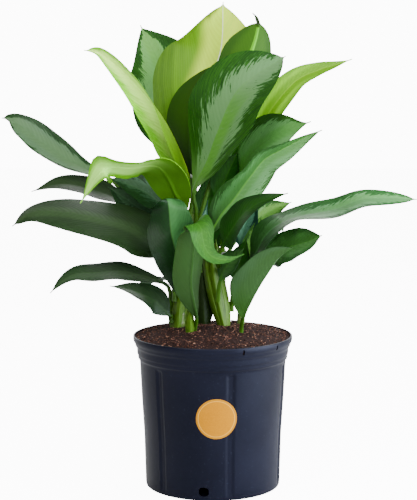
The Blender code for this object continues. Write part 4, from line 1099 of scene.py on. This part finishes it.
def cut_through(piece, degrees, radius, width, low, high, rounding):
    """Cut a hole with round corners through the wall: a bevelled cube and a Boolean."""
    angle = math.radians(degrees)
    place = (radius * math.cos(angle) * MM, radius * math.sin(angle) * MM, (low + high) / 2 * MM)
    deselect()
    bpy.ops.mesh.primitive_cube_add(size=1, location=place)
    cutter = bpy.context.object
    cutter.scale = (CUTTER_DEPTH * MM, width * MM, (high - low) * MM)
    cutter.rotation_euler.z = angle
    bpy.ops.object.transform_apply(location=False, rotation=False, scale=True)
    modify(cutter, "BEVEL", width=rounding * MM, segments=6, limit_method="NONE")
    modify(piece, "BOOLEAN", operation="DIFFERENCE", solver="EXACT", object=cutter)
    bpy.data.objects.remove(cutter, do_unlink=True)


press_flutes(pot)
for index in range(DRAIN_COUNT):
    degrees = DRAIN_FIRST + index * 360 / DRAIN_COUNT
    cut_through(pot, degrees, DRAIN_RADIUS, DRAIN_WIDTH, DRAIN_FOOT, DRAIN_HEIGHT, 5.5)
for degrees in SLIT_ANGLES:
    cut_through(pot, degrees, SLIT_RADIUS, 3, 234.5, 242.5, 1.2)
print("pot faces with holes:", len(pot.data.polygons))

# %% Pot finish


def pot_material():
    graph = material_graph("pot_plastic", roughness=0.34, specular=0.16)
    graph.give("Specular Tint", (0.74, 0.80, 1.0, 1))
    place = graph.place()
    broad = graph.noise(place, 9, 3.0)
    fine = graph.noise(place, 260, 3.0)
    rings = graph.noise(graph.stretched(place, (60, 60, 900)), 1.0)
    graph.give("Base Color", graph.lay(
        (0.0022, 0.0024, 0.0068, 1), (graph.ramp(broad, 0.35, 0.7), (0.0042, 0.0046, 0.0110, 1)),
        (graph.ramp(fine, 0.62, 0.75) * 0.3, rgb(40, 45, 58))))
    graph.give("Roughness", broad * 0.16 + 0.28)
    graph.bump(fine * 0.5 + rings * 0.5, 0.0002, 0.35)
    return graph.owner


dress(pot, pot_material(), 35)
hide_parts("pot")
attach(pot, "root")
print("pot done")

# %% [markdown]
# ## The soil
#
# The pot is filled with a dark bark and peat mix, heaped a little round the stems. A disc with uneven
# ground gives the heap, and some three thousand small chips of bark lie on it, each of twenty faces
# with a seeded size and turn. The chips are placed on the heap's own height.

# %% The heap
SOIL_RADIUS, SOIL_EDGE = 125.2, 243
SOIL_HEAP = 17            # height of the heap above its edge
SOIL_UNDERSIDE, SOIL_TAPER = 225, 0.955
LUMPS = 0.55
rng = np.random.default_rng(7)
WAVES = [(rng.uniform(0, 2 * math.pi), rng.uniform(0.03, 0.16), rng.uniform(0, 6), rng.uniform(0.25, 0.9))
         for _ in range(14)]


def soil_height(x, y):
    """Height of the heap in mm, with low seeded lumps."""
    share = np.hypot(x, y) / SOIL_RADIUS
    ground = SOIL_EDGE + SOIL_HEAP * (1 - share**2)
    lumps = sum(size * np.sin((x * math.cos(turn) + y * math.sin(turn)) * pace + start)
                for turn, pace, start, size in WAVES)
    return ground + lumps * LUMPS * np.clip((1 - share) * 8, 0, 1)


deselect()
bpy.ops.mesh.primitive_circle_add(vertices=128, radius=SOIL_RADIUS * MM, fill_type="TRIFAN")
soil = named("soil_heap")
with editing(soil):
    bpy.ops.mesh.subdivide(number_cuts=5)
for vertex in soil.data.vertices:
    x, y = vertex.co.x / MM, vertex.co.y / MM
    grain = rng.uniform(-0.5, 0.5)
    vertex.co.z = (float(soil_height(x, y)) + grain) * MM
with editing(soil):
    bpy.ops.mesh.extrude_region_move(TRANSFORM_OT_translate={"value": (0, 0, -MM)})
for vertex in soil.data.vertices:
    if vertex.select:
        vertex.co.z = SOIL_UNDERSIDE * MM
        vertex.co.x *= SOIL_TAPER
        vertex.co.y *= SOIL_TAPER
close_and_turn_outward(soil)
print("soil faces:", len(soil.data.polygons))

# %% The chips on the heap
CHIPS = 3200


def make_chips(count):
    """Small flattened lumps of bark scattered over the heap, joined in one mesh."""
    deselect()
    bpy.ops.mesh.primitive_ico_sphere_add(subdivisions=1, radius=0.5)
    pattern = bpy.context.object
    base = np.array([vertex.co[:] for vertex in pattern.data.vertices])
    faces = np.array([face.vertices[:] for face in pattern.data.polygons])
    bpy.data.objects.remove(pattern, do_unlink=True)
    points, corners = [], []
    for index in range(count):
        radius = SOIL_RADIUS * math.sqrt(rng.uniform(0, 0.985))
        angle = rng.uniform(0, 2 * math.pi)
        x, y = radius * math.cos(angle), radius * math.sin(angle)
        size = np.array([rng.uniform(1.6, 5.2), rng.uniform(1.2, 2.8), rng.uniform(0.7, 1.8)])
        size *= rng.choice([0.6, 0.8, 1.0, 1.25], p=[0.35, 0.3, 0.25, 0.1])
        turn = Matrix.Rotation(rng.uniform(0, 2 * math.pi), 3, "Z")
        for axis in "XY":
            turn = turn @ Matrix.Rotation(rng.normal(0, 0.35), 3, axis)
        shape = base * size * (1 + rng.uniform(-0.22, 0.22, base.shape))
        z = float(soil_height(x, y)) + rng.uniform(-0.2, 0.9)
        points.append(shape @ np.array(turn).T + (x, y, z))
        corners.append(faces + index * len(base))
    mesh = bpy.data.meshes.new("soil_chips")
    mesh.from_pydata((np.vstack(points) * MM).tolist(), [], np.vstack(corners).tolist())
    chips = bpy.data.objects.new("soil_chips", mesh)
    bpy.context.scene.collection.objects.link(chips)
    store_levels(mesh, "chip", np.repeat(rng.uniform(0, 1, count), len(base)))
    return chips


chips = make_chips(CHIPS)
print("chips:", CHIPS, "faces:", len(chips.data.polygons))

# %% Soil finish


def soil_material(name, from_chips):
    graph = material_graph(name, roughness=0.9, specular=0.12)
    place = graph.place()
    grain = graph.noise(place, 420, 4.0, 0.7)
    colour = graph.lay(rgb(15, 9, 8), (graph.ramp(grain, 0.38, 0.66), rgb(58, 38, 33)),
                       (graph.noise(place, 60) * 0.4, rgb(48, 31, 29)))
    if from_chips:
        level = graph.attribute("chip")
        bark = graph.lay(rgb(22, 13, 11), (graph.ramp(level, 0.0, 1.0), rgb(112, 76, 62)),
                         (graph.ramp(level, 0.88, 0.97), rgb(172, 128, 104)))
        colour = graph.mix(0.75, colour, bark)
    graph.give("Base Color", colour)
    graph.bump(grain, 0.001, 0.6)
    return graph.owner


dress(soil, soil_material("soil_ground", False), 60)
chips.data.materials.append(soil_material("soil_bark", True))
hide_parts("soil")
for piece in (soil, chips):
    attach(piece, "root")
print("soil done")

# %% [markdown]
# ## The label
#
# A round yellow sticker is pressed on the wall. It is left plain, with one thin printed ring. A flat
# disc is rolled round the pot's wall by moving its points, and Solidify gives the paper its thickness.

# %% Label
LABEL_RADIUS, LABEL_PAPER = 32, 0.4
LABEL_HEIGHT, LABEL_ANGLE = 133, -87.2 # its centre, in mm and in degrees from +X
LABEL_GAP = 0.25                       # between the paper and the wall

deselect()
bpy.ops.mesh.primitive_circle_add(vertices=96, radius=LABEL_RADIUS * MM, fill_type="TRIFAN")
label = named("label_disc")
with editing(label):
    bpy.ops.mesh.subdivide(number_cuts=7)
flat = np.array([vertex.co[:2] for vertex in label.data.vertices]) / MM
rolled = label.data.uv_layers[0]
rolled.name = "disc"
for loop, spot in zip(label.data.loops, rolled.data):
    spot.uv = flat[loop.vertex_index] / (2 * LABEL_RADIUS) + 0.5
for vertex, (x, y) in zip(label.data.vertices, flat):
    height = LABEL_HEIGHT + y
    radius = float(wall_radius(height)) + LABEL_GAP
    angle = math.radians(LABEL_ANGLE) + x / float(wall_radius(LABEL_HEIGHT))
    vertex.co = (radius * math.cos(angle) * MM, radius * math.sin(angle) * MM, height * MM)
modify(label, "SOLIDIFY", thickness=LABEL_PAPER * MM, offset=1.0)
close_and_turn_outward(label)


def label_material():
    graph = material_graph("label_paper", roughness=0.45, specular=0.08)
    x, y = [part - 0.5 for part in graph.uv("disc")]
    out = graph.math("SQRT", x * x + y * y)
    ring = graph.ramp(out, 0.435, 0.440) * graph.fall(out, 0.452, 0.457)
    rim = graph.ramp(out, 0.488, 0.496)
    fibre = graph.noise(graph.place(), 500, 3.0)
    graph.give("Base Color", graph.lay(
        (0.45, 0.172, 0.0, 1), (graph.ramp(fibre, 0.3, 0.7), (0.50, 0.195, 0.0, 1)),
        (ring * 0.7, (0.72, 0.40, 0.06, 1)), (rim * 0.5, rgb(190, 140, 40))))
    graph.bump(fibre, 0.0001, 0.3)
    return graph.owner


dress(label, label_material(), 40)
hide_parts("round_label")
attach(label, "root")
print("label faces:", len(label.data.polygons))

# %% [markdown]
# ## The canes
#
# A cane is a green stem with a ring for every leaf that it has dropped. A cylinder of many rows is bent
# along the cane's line, swells a little at each ring and is capped at both ends.

# %% Canes
CANE_ROWS, CANE_SIDES = 90, 28
RING_FIRST, RING_STEP = 8, 15          # mm along the cane
RING_WIDTH, RING_SWELL = 1.2, 0.03


def cane_material():
    graph = material_graph("cane_skin", roughness=0.45, specular=0.45)
    place = graph.place()
    lines = graph.noise(graph.stretched(place, (260, 260, 14)), 1.0, 3.0)
    ring = graph.attribute("ring")
    graph.give("Base Color", graph.lay(
        rgb(50, 80, 22), (graph.ramp(graph.noise(place, 40), 0.3, 0.7), rgb(86, 112, 40)),
        (graph.ramp(lines, 0.45, 0.7) * 0.4, rgb(104, 122, 60)), (ring * 0.5, rgb(92, 96, 50))))
    graph.bump(lines + ring, 0.0006, 0.6)
    return graph.owner


cane_skin = cane_material()
for name in CANES:
    axis, radii = cane_line(name, 24)
    share = np.linspace(0, 1, CANE_ROWS + 1)
    spine = evenly(axis, CANE_ROWS)
    radius = keyed(radii, share)[:, 0]
    tangent = unit(np.gradient(spine, axis=0))
    first = unit(np.cross(tangent, (0, 1, 0)))
    second = np.cross(tangent, first)
    length = line_length(spine)
    from_ring = share[:, None] * length - np.arange(RING_FIRST, length, RING_STEP)
    rings = np.exp(-((from_ring / RING_WIDTH) ** 2)).sum(axis=1)
    swell = radius * (1 - RING_SWELL / 2 + RING_SWELL * rings)
    angles = np.linspace(0, 2 * np.pi, CANE_SIDES + 1)[None, :, None]
    outward = np.cos(angles) * first[:, None] + np.sin(angles) * second[:, None]
    skin = spine[:, None] + swell[:, None, None] * outward
    deselect()
    bpy.ops.mesh.primitive_grid_add(x_subdivisions=CANE_SIDES, y_subdivisions=CANE_ROWS, size=1)
    cane = named(name + "_stem")
    cane.data.vertices.foreach_set("co", (skin.reshape(-1, 3) * MM).ravel())
    store_levels(cane.data, "ring", np.repeat(np.clip(rings, 0, 1), CANE_SIDES + 1))
    close_and_turn_outward(cane)
    dress(cane, cane_skin)
    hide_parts(name)
    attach(cane, "root")
print("canes done:", len(CANES))
